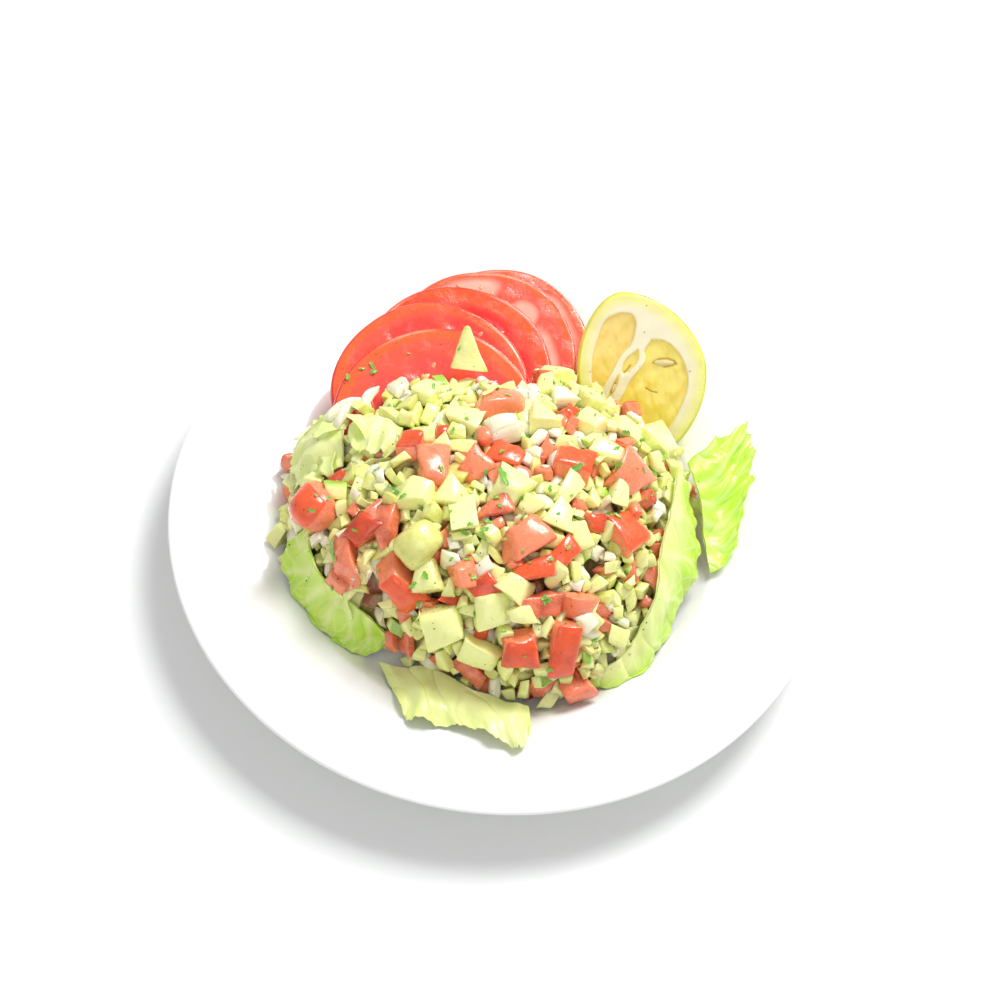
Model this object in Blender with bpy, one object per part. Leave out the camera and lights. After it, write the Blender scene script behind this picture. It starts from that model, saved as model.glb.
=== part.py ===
"""Chopped salad heaped on a white rimmed plate, with tomato slices, half a lemon and lettuce leaves.

The plate stands on z = 0 with its centre at the origin. The side that faces the eater is -Y.
Lengths below are in millimetres and angles in degrees; new_object turns the meshes into metres.
"""

import math
import random

import bmesh
import bpy
from mathutils import Matrix, Vector
from mathutils.bvhtree import BVHTree

MM = 0.001
GAP = 0.35
CUT_MARGIN = 0.25
EDGE_ANGLE = 40.0
SEED = 11

# Plate
PLATE_RADIUS = 135.0
PLATE_HEIGHT = 25.0
WELL_RADIUS = 80.0
WELL_Z = 6.0
RIM_START_RADIUS = 89.0
RIM_START_Z = 12.0
RIM_THICKNESS = 3.2
FOOT_RADIUS = 62.0
FOOT_WIDTH = 6.0
RECESS_Z = 2.4
WELL_FILLET = 14.0
RIM_FILLET = 9.0
LIP_SETBACK = 2.0
LIP_DROP = 0.3
PLATE_SEGMENTS = 48
PLATE_FILLET_STEPS = 2

# Heap of chopped salad
HEAP_CENTRE = (-9.0, -14.0)
HEAP_TOP_Z = 60.0
HEAP_RADII = (81.0, 96.0, 92.0, 82.0, 86.0, 87.0, 78.0, 70.0, 56.0, 60.0, 73.0, 76.0)
HEAP_FULLNESS_FRONT = 2.3
HEAP_FULLNESS_BACK = 3.3
HEAP_ROUNDNESS = 1.9
HEAP_RINGS = 6
HEAP_SEGMENTS = 26
HEAP_EDGE = 2.5
HEAP_CLEARANCE = 0.15
HEAP_STEP = 0.02

# Tomato slices, from the lowest at the back to the highest: x, y, tilt, radius
SLICE_THICKNESS = 7.4
SLICE_SEGMENTS = 30
SLICE_CUTTER_SEGMENTS = 20
SLICE_LOBES = 5
SLICE_LOBE_DEPTH = 0.008
SLICE_PHASE = 1.3
SLICE_SPACE_BELOW = 40.0
FIRST_SLICE_Z = 19.2
SLICES = (
    (-9.7, 85.8, 13.0, 40.3),
    (-16.1, 76.8, 14.0, 40.7),
    (-26.8, 60.4, 15.0, 42.0),
    (-35.5, 45.6, 16.0, 41.7),
    (-31.3, 27.5, 17.0, 43.0),
)

# Half lemon leaning on the slices, cut face up
LEMON_SPOT = (49.4, 67.0)
LEMON_HALF_LENGTH = 36.0
LEMON_HALF_WIDTH = 29.6
LEMON_LOW_HALF_WIDTH = 25.0
LEMON_DEPTH = 23.0
LEMON_SQUARENESS = 1.75
LEMON_LEAN = 50.0
LEMON_FACING = 4.0
LEMON_TURN = 157.0
LEMON_RINGS = 6
LEMON_SEGMENTS = 26

# Lettuce
LEAF_THICKNESS = 1.2
LEAF_COLUMNS = 17
LEAF_ROWS = 4
LEAF_CUTTER_SPAN = 4
LEAF_CUTTER_DEPTH = 14.0
LEAF_CUTTER_END = 1.0
LEAF_PHASE = 1.7
LEAF_LIFT = 1.2

# Cucumber wedge standing against the slices
WEDGE_FOOT = (-20.5, 48.3, 54.8)
WEDGE_WIDTH = 15.5
WEDGE_HEIGHT = 17.5
WEDGE_THICKNESS = 4.5
WEDGE_LEAN = 50.0

# Large chopped pieces where they lie on the heap: x, y, length, width, height, turn about the upright
LARGE_CHUNKS = (
    (-74.0, -21.0, 19.0, 18.0, 13.0, 20.0),
    (-36.0, -50.0, 21.0, 13.0, 11.0, -35.0),
    (-6.0, 27.0, 20.0, 12.0, 9.0, 10.0),
    (-28.0, -7.0, 19.0, 12.0, 9.0, 0.0),
    (25.0, 2.0, 18.0, 14.0, 9.0, 80.0),
    (-48.0, 16.0, 16.0, 16.0, 12.0, 65.0),
    (47.0, 6.0, 18.0, 12.0, 10.0, -25.0),
    (-63.0, -48.0, 17.0, 12.0, 9.0, -30.0),
    (-51.0, -33.0, 17.0, 10.0, 9.0, 85.0),
    (56.0, -32.0, 16.0, 14.0, 9.0, 80.0),
    (61.0, -1.0, 15.0, 14.0, 9.0, 30.0),
    (-16.0, -63.0, 16.0, 15.0, 11.0, 40.0),
    (-30.0, -39.0, 15.0, 15.0, 12.0, 15.0),
    (11.0, -34.0, 18.0, 10.0, 9.0, 5.0),
    (29.0, -65.0, 19.0, 10.0, 8.0, 75.0),
    (14.0, -69.0, 14.0, 13.0, 9.0, 10.0),
    (2.0, -60.0, 14.0, 14.0, 9.0, 30.0),
    (3.0, -13.0, 13.0, 13.0, 8.0, 5.0),
    (-4.0, 12.0, 13.0, 11.0, 7.0, 20.0),
    (16.0, 52.0, 13.0, 11.0, 9.0, 30.0),
)

# Scattered chopped pieces: name, count, length, width, height
CHUNKS = (
    ("tomato", 14, 14.0, 11.0, 9.5),
    ("cucumber", 44, 11.0, 9.5, 8.5),
    ("onion", 52, 8.5, 7.5, 6.5),
)
CHUNK_SINK = 0.36
CHUNK_SPACING = 0.86
CHUNK_JITTER = 0.14
CHUNK_CLEARANCE = 0.9
CHUNK_FLOOR = 1.0
CHUNK_CROWDING = 0.42
CHUNK_TRIES = 160
CHUNK_OUTERMOST = 0.97


def clear_scene():
    """Remove every object of the open scene."""
    for item in list(bpy.data.objects):
        bpy.data.objects.remove(item, do_unlink=True)


def new_material(name, colour, roughness):
    """Make a plain material with the colour of the real thing."""
    material = bpy.data.materials.new(name)
    material.use_nodes = True
    shader = material.node_tree.nodes["Principled BSDF"]
    shader.inputs["Base Color"].default_value = (*colour, 1.0)
    shader.inputs["Roughness"].default_value = roughness
    shader.inputs["Metallic"].default_value = 0.0
    material.diffuse_color = (*colour, 1.0)
    return material


def new_object(name, mesh_data, material=None):
    """Make an object from a bmesh in millimetres and free the bmesh."""
    bmesh.ops.recalc_face_normals(mesh_data, faces=mesh_data.faces)
    bmesh.ops.scale(mesh_data, vec=(MM, MM, MM), verts=mesh_data.verts)
    mesh = bpy.data.meshes.new(name)
    mesh_data.to_mesh(mesh)
    mesh_data.free()
    if material is not None:
        mesh.materials.append(material)
    item = bpy.data.objects.new(name, mesh)
    bpy.context.scene.collection.objects.link(item)
    return item


def curve_point(points, t):
    """Return the point at t, from 0 to 1, of a smooth curve through the given points."""
    spans = len(points) - 1
    place = min(max(t, 0.0), 1.0) * spans
    index = min(int(place), spans - 1)
    f = place - index
    b = Vector(points[index])
    c = Vector(points[index + 1])
    a = Vector(points[index - 1]) if index > 0 else 2.0 * b - c
    d = Vector(points[index + 2]) if index + 2 <= spans else 2.0 * c - b
    return 0.5 * (2.0 * b + (c - a) * f + (2.0 * a - 5.0 * b + 4.0 * c - d) * f * f
                  + (3.0 * b - a - 3.0 * c + d) * f ** 3)


def fillet(points, radii, steps):
    """Round the corners of an open outline of (radius, z) points."""
    outline = [Vector(points[0])]
    for before, corner, after, radius in zip(points, points[1:], points[2:], radii):
        corner = Vector(corner)
        back = (Vector(before) - corner).normalized()
        ahead = (Vector(after) - corner).normalized()
        half_angle = 0.5 * back.angle(ahead)
        if radius == 0.0:
            outline.append(corner)
            continue
        reach = radius / math.tan(half_angle)
        start = corner + back * reach
        end = corner + ahead * reach
        for step in range(steps + 1):
            t = step / steps
            outline.append((1 - t) ** 2 * start + 2 * t * (1 - t) * corner + t * t * end)
    outline.append(Vector(points[-1]))
    return outline


def plate_top_outline():
    """Return the (radius, z) outline of the plate's upper side, centre first."""
    points = [
        (0.0, WELL_Z),
        (WELL_RADIUS, WELL_Z),
        (RIM_START_RADIUS, RIM_START_Z),
        (PLATE_RADIUS - LIP_SETBACK, PLATE_HEIGHT - LIP_DROP),
    ]
    return fillet(points, (WELL_FILLET, RIM_FILLET), PLATE_FILLET_STEPS)


def plate_z(radius):
    """Return the height of the plate's upper side at a distance from its centre."""
    outline = plate_top_outline()
    for inner, outer in zip(outline, outline[1:]):
        if radius <= outer.x:
            return inner.y + (outer.y - inner.y) * (radius - inner.x) / (outer.x - inner.x)
    return outline[-1].y


def plate_under_outline():
    """Return the (radius, z) outline from the plate's lip down to the centre of its underside."""
    lip = [
        (PLATE_RADIUS - 0.7, PLATE_HEIGHT),
        (PLATE_RADIUS, PLATE_HEIGHT - 0.8),
        (PLATE_RADIUS - 0.4, PLATE_HEIGHT - 2.2),
    ]
    foot_outer = FOOT_RADIUS + 0.5 * FOOT_WIDTH
    foot_inner = FOOT_RADIUS - 0.5 * FOOT_WIDTH
    points = [
        (PLATE_RADIUS - LIP_SETBACK, PLATE_HEIGHT - RIM_THICKNESS),
        (RIM_START_RADIUS + 1.5, RIM_START_Z - RIM_THICKNESS),
        (WELL_RADIUS + 2.0, RECESS_Z + 0.4),
        (foot_outer + 2.0, RECESS_Z),
        (foot_outer, 0.0),
        (foot_inner, 0.0),
        (foot_inner - 2.0, RECESS_Z),
        (0.0, RECESS_Z),
    ]
    radii = (RIM_FILLET, WELL_FILLET - RIM_THICKNESS, 0.0, 0.0, 0.0, 0.0)
    return [Vector(point) for point in lip] + fillet(points, radii, PLATE_FILLET_STEPS)


def turned_solid(outline, segments):
    """Turn a (radius, z) outline that starts and ends on the axis about Z."""
    shape = bmesh.new()
    rings = []
    for point in outline:
        if point.x < 1e-6:
            rings.append([shape.verts.new((0.0, 0.0, point.y))])
            continue
        ring = []
        for k in range(segments):
            angle = 2.0 * math.pi * k / segments
            ring.append(shape.verts.new((point.x * math.cos(angle), point.x * math.sin(angle), point.y)))
        rings.append(ring)
    for first, second in zip(rings, rings[1:]):
        bridge(shape, first, second)
    return shape


def bridge(shape, first, second):
    """Join two closed rings, or a ring and a single tip, with faces."""
    count = max(len(first), len(second))
    for k in range(count):
        after = (k + 1) % count
        if len(first) == 1:
            shape.faces.new((first[0], second[k], second[after]))
        elif len(second) == 1:
            shape.faces.new((first[k], second[0], first[after]))
        else:
            shape.faces.new((first[k], second[k], second[after], first[after]))


def make_plate(material):
    """Make the rimmed plate with its foot ring."""
    plate = new_object("plate", turned_solid(plate_top_outline() + plate_under_outline(),
                                             PLATE_SEGMENTS), material)
    plate.data.shade_smooth()
    plate.data.set_sharp_from_angle(angle=math.radians(EDGE_ANGLE))
    return plate


def slice_places():
    """Return each slice's matrix and radius, with every slice resting on the one below it."""
    places = []
    for number, (x, y, tilt, radius) in enumerate(SLICES):
        slope = math.tan(math.radians(tilt))
        z = FIRST_SLICE_Z
        if number > 0:
            z = below_z + (y - below_y) * below_slope + SLICE_THICKNESS / math.cos(math.radians(tilt))
            z += GAP + (slope - below_slope) * radius
        below_y, below_z, below_slope = y, z, slope
        lean = Matrix.Rotation(math.radians(tilt), 4, "X")
        places.append((Matrix.Translation((x, y, z)) @ lean, radius))
    return places


def slice_shape(place, radius, half_thickness, phase, segments=SLICE_SEGMENTS):
    """Make one round slice with a faintly lobed edge."""
    shape = bmesh.new()
    sides = ((0.0, -half_thickness), (0.975, -half_thickness), (1.0, -0.45 * half_thickness),
             (1.0, 0.45 * half_thickness), (0.975, half_thickness), (0.0, half_thickness))
    rings = []
    for share, z in sides:
        if share == 0.0:
            rings.append([shape.verts.new(place @ Vector((0.0, 0.0, z)))])
            continue
        ring = []
        for k in range(segments):
            angle = 2.0 * math.pi * k / segments
            lobed = radius * share * (1.0 + SLICE_LOBE_DEPTH * math.sin(SLICE_LOBES * angle + phase))
            point = Vector((lobed * math.cos(angle), lobed * math.sin(angle), z))
            ring.append(shape.verts.new(place @ point))
        rings.append(ring)
    for first, second in zip(rings, rings[1:]):
        bridge(shape, first, second)
    return shape


def make_slices(material):
    """Make the tomato slices of the fan."""
    slices = []
    for number, (place, radius) in enumerate(slice_places(), start=1):
        shape = slice_shape(place, radius, 0.5 * SLICE_THICKNESS, SLICE_PHASE * number)
        slices.append(new_object(f"tomato_slice_{number}", shape, material))
    return slices


def slice_cutters():
    """Make the hulls that keep the heap clear of the stacked slices and of the space below the last."""
    grow = GAP + CUT_MARGIN
    half = 0.5 * SLICE_THICKNESS + grow
    points = []
    for number, (place, radius) in enumerate(slice_places(), start=1):
        round_radius = (radius + grow) / math.cos(math.pi / SLICE_CUTTER_SEGMENTS)
        shape = slice_shape(place, round_radius, half, SLICE_PHASE * number,
                            SLICE_CUTTER_SEGMENTS)
        points.append([vertex.co.copy() for vertex in shape.verts])
        shape.free()
    below = [point - Vector((0.0, 0.0, SLICE_SPACE_BELOW)) for point in points[0]]
    return [hull_object("slice_cutter", first + second)
            for first, second in zip([below] + points, points)]


def hull_object(name, points, material=None):
    """Make the convex hull of some points."""
    shape = bmesh.new()
    for point in points:
        shape.verts.new(point)
    result = bmesh.ops.convex_hull(shape, input=shape.verts)
    inside = {item for item in result["geom_interior"] if isinstance(item, bmesh.types.BMVert)}
    loose = [vertex for vertex in shape.verts if vertex in inside or not vertex.link_faces]
    bmesh.ops.delete(shape, geom=loose, context="VERTS")
    return new_object(name, shape, material)


def lemon_axes():
    """Return the cut face's normal, the lemon's long axis and its width axis."""
    lean = math.radians(LEMON_LEAN)
    facing = math.radians(LEMON_FACING)
    normal = Vector((-math.sin(facing) * math.sin(lean), -math.cos(facing) * math.sin(lean), math.cos(lean)))
    upward = (Vector((0.0, 0.0, 1.0)) - normal * normal.z).normalized()
    sideways = upward.cross(normal)
    turn = math.radians(LEMON_TURN)
    length_axis = upward * math.cos(turn) + sideways * math.sin(turn)
    return normal, length_axis, length_axis.cross(normal)


def lemon_points(grow=0.0):
    """Return the rings of the half lemon about the middle of its cut face, face edge first, and its tip."""
    normal, length_axis, width_axis = lemon_axes()
    power = 2.0 / LEMON_SQUARENESS
    rings = []
    for row in range(LEMON_RINGS):
        down = 0.5 * math.pi * row / LEMON_RINGS
        ring = []
        for column in range(LEMON_SEGMENTS):
            angle = 2.0 * math.pi * column / LEMON_SEGMENTS
            half_width = LEMON_LOW_HALF_WIDTH if math.sin(angle) > 0.0 else LEMON_HALF_WIDTH
            along = math.copysign(abs(math.cos(angle)) ** power, math.cos(angle))
            aside = math.copysign(abs(math.sin(angle)) ** power, math.sin(angle))
            flat = length_axis * along * (LEMON_HALF_LENGTH + grow) + width_axis * aside * (half_width + grow)
            ring.append(flat * math.cos(down) - normal * (LEMON_DEPTH + grow) * math.sin(down))
        rings.append(ring)
    rings[0] = [point + normal * grow for point in rings[0]]
    return rings, -normal * (LEMON_DEPTH + grow)


def lemon_centre():
    """Return the middle of the cut face with the fruit just resting on the plate."""
    rings, tip = lemon_points()
    lift = 0.0
    for point in [point for ring in rings for point in ring] + [tip]:
        radius = math.hypot(point.x + LEMON_SPOT[0], point.y + LEMON_SPOT[1])
        lift = max(lift, plate_z(radius) - point.z)
    return Vector((*LEMON_SPOT, lift + GAP))


def make_lemon(name, material, grow=0.0):
    """Make the half lemon, or a cutter grown by a margin."""
    rings, tip = lemon_points(grow)
    normal = lemon_axes()[0]
    centre = lemon_centre()
    shape = bmesh.new()
    rows = [[shape.verts.new(centre + normal * grow)]]
    rows += [[shape.verts.new(centre + point) for point in ring] for ring in rings]
    rows.append([shape.verts.new(centre + tip)])
    for first, second in zip(rows, rows[1:]):
        bridge(shape, first, second)
    return new_object(name, shape, material)


# Guide curves of each leaf, from the side in the heap to the free edge, each of them left to right
LEAVES = {
    "lettuce_right_back": {
        "guides": (
            ((88.0, -11.0, 15.0), (84.0, 4.0, 20.0), (80.0, 18.0, 28.0), (74.0, 28.0, 36.0)),
            ((93.5, -8.0, 16.5), (93.0, 8.0, 19.0), (91.0, 26.0, 26.0), (84.0, 42.0, 34.0)),
            ((98.5, -3.0, 20.0), (99.0, 14.0, 25.0), (103.0, 33.0, 30.0), (100.0, 51.0, 34.0),
             (93.0, 56.0, 36.0)),
        ),
        "ruffle": 1.6, "waves": 5.0,
    },
    "lettuce_right_front": {
        "guides": (
            ((45.0, -62.5, 15.0), (57.0, -56.0, 20.0), (63.0, -40.0, 31.0), (65.0, -22.0, 38.0),
             (67.0, 0.0, 43.0), (68.5, 18.0, 46.0)),
            ((42.0, -67.0, 11.0), (60.0, -60.5, 13.0), (69.0, -42.0, 20.0), (74.0, -22.0, 26.0),
             (76.0, -2.0, 32.0), (74.0, 16.0, 40.0)),
            ((41.0, -69.5, 8.5), (60.0, -63.0, 9.0), (71.0, -46.0, 9.5), (77.0, -26.0, 12.0),
             (83.0, -12.0, 17.0), (81.0, 5.0, 24.0), (77.0, 18.0, 33.0)),
        ),
        "ruffle": 1.0, "waves": 6.0,
    },
    "lettuce_left": {
        "guides": (
            ((-78.0, -27.0, 35.0), (-69.0, -43.0, 32.0), (-58.0, -52.0, 29.0), (-47.0, -57.0, 25.0),
             (-38.0, -61.0, 16.0)),
            ((-83.0, -27.0, 26.0), (-75.0, -45.0, 20.0), (-63.0, -56.5, 17.0), (-50.0, -62.5, 14.0),
             (-38.0, -62.5, 11.0)),
            ((-88.0, -24.0, 25.0), (-82.0, -38.0, 15.0), (-76.0, -48.0, 11.0), (-64.0, -59.5, 9.5),
             (-52.0, -66.0, 8.5), (-38.0, -65.0, 8.2)),
        ),
        "ruffle": 1.3, "waves": 6.0,
    },
    "lettuce_front": {
        "guides": (
            ((-41.0, -68.5, 10.5), (-30.0, -71.0, 12.5), (-16.0, -72.5, 13.5), (-3.0, -79.0, 15.0),
             (11.0, -82.0, 15.0), (20.0, -83.0, 15.0)),
            ((-36.0, -79.0, 12.5), (-22.0, -85.0, 19.0), (-7.0, -88.5, 17.0), (8.0, -92.0, 21.0),
             (22.0, -93.0, 18.0)),
            ((-32.0, -89.0, 16.0), (-24.0, -98.0, 19.0), (-9.0, -97.0, 18.0), (3.0, -98.5, 20.0),
             (16.0, -105.0, 22.0), (25.0, -102.0, 21.0)),
        ),
        "ruffle": 1.2, "waves": 5.0,
    },
    "lettuce_left_back": {
        "guides": (
            ((-64.0, -5.0, 49.0), (-67.0, 8.0, 50.0), (-66.0, 19.0, 48.0)),
            ((-75.0, -7.0, 41.0), (-78.0, 8.0, 43.5), (-77.0, 22.0, 42.0)),
            ((-84.0, -7.0, 28.0), (-89.0, 6.0, 29.0), (-88.0, 18.0, 31.0)),
        ),
        "ruffle": 1.6, "waves": 3.0,
    },
    "lettuce_scrap": {
        "guides": (
            ((-43.0, 10.5, 57.5), (-52.0, 15.5, 57.0), (-62.0, 16.0, 54.5)),
            ((-43.0, 3.5, 60.5), (-53.0, 7.5, 59.0), (-64.0, 7.5, 55.5)),
            ((-46.0, -4.5, 58.5), (-55.0, -2.5, 57.5), (-63.0, -1.5, 54.5)),
        ),
        "ruffle": 1.5, "waves": 3.0,
    },
}


def leaf_grid(guides, ruffle, waves, phase):
    """Return the leaf's middle surface as rows of points, heap side first."""
    rows = []
    for row in range(LEAF_ROWS):
        across = row / (LEAF_ROWS - 1)
        points = []
        for column in range(LEAF_COLUMNS):
            along = column / (LEAF_COLUMNS - 1)
            point = curve_point([curve_point(guide, along) for guide in guides], across)
            wave = math.sin(2.0 * math.pi * waves * along + phase + 1.2 * across)
            point.z += ruffle * (0.25 + 0.75 * across ** 2) * wave
            floor = plate_z(math.hypot(point.x, point.y)) + 0.5 * LEAF_THICKNESS + LEAF_LIFT
            point.z = max(point.z, floor)
            points.append(point)
        rows.append(points)
    return rows


def grid_normals(rows):
    """Return the normal at each point of a grid of points."""
    last_row = len(rows) - 1
    last_column = len(rows[0]) - 1
    normals = []
    for r, row in enumerate(rows):
        line = []
        for c in range(last_column + 1):
            along = row[min(c + 1, last_column)] - row[max(c - 1, 0)]
            across = rows[min(r + 1, last_row)][c] - rows[max(r - 1, 0)][c]
            line.append(along.cross(across).normalized())
        normals.append(line)
    return normals


def sheet_solid(rows, inner, outer):
    """Make a closed sheet between two offsets of a grid, both sides split into triangles alike."""
    shape = bmesh.new()
    normals = grid_normals(rows)
    sides = []
    for offset in (inner, outer):
        sides.append([[shape.verts.new(point + normal * offset) for point, normal in zip(row, line)]
                      for row, line in zip(rows, normals)])
    for side in sides:
        for first, second in zip(side, side[1:]):
            for k in range(len(first) - 1):
                shape.faces.new((first[k], first[k + 1], second[k + 1]))
                shape.faces.new((first[k], second[k + 1], second[k]))
    loops = [outline_of(side) for side in sides]
    for k in range(len(loops[0])):
        after = (k + 1) % len(loops[0])
        shape.faces.new((loops[0][k], loops[0][after], loops[1][after], loops[1][k]))
    return shape


def outline_of(grid):
    """Return the points round the edge of a grid in order."""
    left = [row[0] for row in grid[-2:0:-1]]
    right = [row[-1] for row in grid[1:-1]]
    return grid[0] + right + grid[-1][::-1] + left


def outward(rows):
    """Return 1 where the grid's normals point away from the heap's middle, or -1."""
    middle = Vector((*HEAP_CENTRE, 20.0))
    total = 0.0
    for row, line in zip(rows, grid_normals(rows)):
        total += sum((point - middle).dot(normal) for point, normal in zip(row, line))
    return 1.0 if total > 0.0 else -1.0


def leaf_cutters(rows):
    """Make the hulls, some columns of the leaf each, that clear the heap outside it and past its ends."""
    side = outward(rows)
    normals = grid_normals(rows)
    reach = 0.5 * LEAF_THICKNESS + 2.0 * GAP
    cutters = []
    for start in range(0, LEAF_COLUMNS - 1, LEAF_CUTTER_SPAN):
        span = range(start, min(start + LEAF_CUTTER_SPAN, LEAF_COLUMNS - 1) + 1)
        pairs = [(row[c], side * line[c]) for row, line in zip(rows, normals) for c in span]
        away = sum((normal for _, normal in pairs), Vector()).normalized() * LEAF_CUTTER_DEPTH
        middle = sum((point for point, _ in pairs), Vector()) / len(pairs)
        near = [point + normal * offset + (point - middle).normalized() * LEAF_CUTTER_END
                for point, normal in pairs for offset in (-reach, reach)]
        cutters.append(hull_object("leaf_cutter", near + [point + away for point in near]))
    return cutters


def make_leaves(material):
    """Make the lettuce leaves and the hulls that clear the heap on their outer sides."""
    leaves = []
    cutters = []
    half = 0.5 * LEAF_THICKNESS
    for number, (name, leaf) in enumerate(LEAVES.items()):
        rows = leaf_grid(leaf["guides"], leaf["ruffle"], leaf["waves"], LEAF_PHASE * number)
        leaves.append(new_object(name, sheet_solid(rows, -half, half), material))
        cutters += leaf_cutters(rows)
    return leaves, cutters


def make_wedge(material):
    """Make the thin three-cornered cucumber piece that leans on the slices."""
    half_width = 0.5 * WEDGE_WIDTH
    outline = ((-half_width, 0.0), (half_width, 0.0), (-0.13 * WEDGE_WIDTH, WEDGE_HEIGHT),
               (-0.26 * WEDGE_WIDTH, 0.98 * WEDGE_HEIGHT))
    place = Matrix.Translation(WEDGE_FOOT) @ Matrix.Rotation(math.radians(WEDGE_LEAN), 4, "X")
    points = [place @ Vector((x, y, z)) for x, y in outline for z in (0.0, WEDGE_THICKNESS)]
    return hull_object("cucumber_wedge", points, material)


def heap_radius(angle):
    """Return the outline radius of the heap in one direction, in radians."""
    count = len(HEAP_RADII)
    place = (angle / (2.0 * math.pi)) % 1.0 * count
    index = int(place) % count
    f = place - int(place)
    ease = f * f * (3.0 - 2.0 * f)
    return HEAP_RADII[index] * (1.0 - ease) + HEAP_RADII[(index + 1) % count] * ease


def heap_point(angle, share):
    """Return the point of the heap's bare surface at a share of the way from its middle out."""
    radius = share * heap_radius(angle)
    x = HEAP_CENTRE[0] + radius * math.cos(angle)
    y = HEAP_CENTRE[1] + radius * math.sin(angle)
    back = 0.5 + 0.5 * math.sin(angle)
    fullness = HEAP_FULLNESS_FRONT + (HEAP_FULLNESS_BACK - HEAP_FULLNESS_FRONT) * back
    rise = (1.0 - min(share, 1.0) ** fullness) ** (1.0 / HEAP_ROUNDNESS)
    z = WELL_Z + (HEAP_TOP_Z - WELL_Z) * rise
    return Vector((x, y, max(z, plate_z(math.hypot(x, y)) + GAP + HEAP_EDGE)))


def heap_normal(angle, share):
    """Return the outward direction of the heap's bare surface."""
    outer = min(share + HEAP_STEP, 1.0)
    inner = max(share - HEAP_STEP, 0.0)
    along = heap_point(angle, outer) - heap_point(angle, inner)
    round_share = max(share, HEAP_STEP)
    around = heap_point(angle + HEAP_STEP, round_share) - heap_point(angle - HEAP_STEP, round_share)
    return along.cross(around).normalized()


def make_heap_core():
    """Make the smooth mound that the chopped pieces sit in."""
    shape = bmesh.new()
    top = [[shape.verts.new(heap_point(0.0, 0.0))]]
    under = [[shape.verts.new((*HEAP_CENTRE, WELL_Z + GAP))]]
    for ring in range(1, HEAP_RINGS + 1):
        share = math.sin(0.5 * math.pi * ring / HEAP_RINGS)
        upper = []
        lower = []
        for k in range(HEAP_SEGMENTS):
            angle = 2.0 * math.pi * k / HEAP_SEGMENTS
            point = heap_point(angle, share)
            upper.append(shape.verts.new(point))
            if ring % 2 == 0:
                floor = plate_z(math.hypot(point.x, point.y)) + GAP + HEAP_CLEARANCE
                lower.append(shape.verts.new((point.x, point.y, floor)))
        top.append(upper)
        if lower:
            under.append(lower)
    for rings in (top, under):
        for first, second in zip(rings, rings[1:]):
            bridge(shape, first, second)
    bridge(shape, top[-1], under[-1])
    return new_object("salad_heap", shape)


def apply_boolean(target, tools, operation, solver):
    """Join or cut a solid with a group of others, apply it and remove the group."""
    group = bpy.data.collections.new("boolean_tools")
    bpy.context.scene.collection.children.link(group)
    for tool in tools:
        group.objects.link(tool)
        tool.hide_render = True
        tool.display_type = "WIRE"
    step = target.modifiers.new("boolean", "BOOLEAN")
    step.operand_type = "COLLECTION"
    step.collection = group
    step.operation = operation
    step.solver = solver
    graph = bpy.context.evaluated_depsgraph_get()
    graph.update()
    result = bpy.data.meshes.new_from_object(target.evaluated_get(graph))
    target.modifiers.remove(step)
    old = target.data
    target.data = result
    bpy.data.meshes.remove(old)
    for tool in tools:
        bpy.data.objects.remove(tool, do_unlink=True)
    bpy.data.collections.remove(group)


def shells_of(shape):
    """Return the connected groups of faces of a bmesh."""
    shape.faces.ensure_lookup_table()
    seen = set()
    groups = []
    for face in shape.faces:
        if face in seen:
            continue
        seen.add(face)
        stack = [face]
        group = []
        while stack:
            item = stack.pop()
            group.append(item)
            for edge in item.edges:
                for other in edge.link_faces:
                    if other not in seen:
                        seen.add(other)
                        stack.append(other)
        groups.append(group)
    return groups


def signed_volume(faces):
    """Return the volume that a group of triangles encloses, negative for a sealed hollow."""
    total = 0.0
    for face in faces:
        a, b, c = (vertex.co for vertex in face.verts)
        total += a.dot(b.cross(c)) / 6.0
    return total


def keep_one_body(item):
    """Split the faces into triangles, fill sealed hollows and drop loose scraps."""
    shape = bmesh.new()
    shape.from_mesh(item.data)
    bmesh.ops.triangulate(shape, faces=shape.faces)
    groups = sorted(shells_of(shape), key=signed_volume)
    for group in groups[:-1]:
        bmesh.ops.delete(shape, geom=group, context="FACES")
    loose = [vertex for vertex in shape.verts if not vertex.link_faces]
    bmesh.ops.delete(shape, geom=loose, context="VERTS")
    shape.to_mesh(item.data)
    shape.free()


def tree_of(item):
    """Return a search tree over an object's faces, in metres."""
    shape = bmesh.new()
    shape.from_mesh(item.data)
    tree = BVHTree.FromBMesh(shape)
    shape.free()
    return tree


def chunk_corners(length, width, height, draw):
    """Return the eight uneven corners of one chopped piece about its own middle."""
    corners = []
    for x in (-0.5, 0.5):
        for y in (-0.5, 0.5):
            for z in (-0.5, 0.5):
                wobble = [1.0 + draw.uniform(-CHUNK_JITTER, CHUNK_JITTER) * 2.0 for _ in range(3)]
                corners.append(Vector((x * length * wobble[0], y * width * wobble[1],
                                       z * height * wobble[2])))
    return corners


def heap_place(x, y):
    """Return the direction and the share of the way out at which the heap passes a point in plan."""
    offset_x = x - HEAP_CENTRE[0]
    offset_y = y - HEAP_CENTRE[1]
    angle = math.atan2(offset_y, offset_x)
    return angle, min(math.hypot(offset_x, offset_y) / heap_radius(angle), CHUNK_OUTERMOST)


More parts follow.
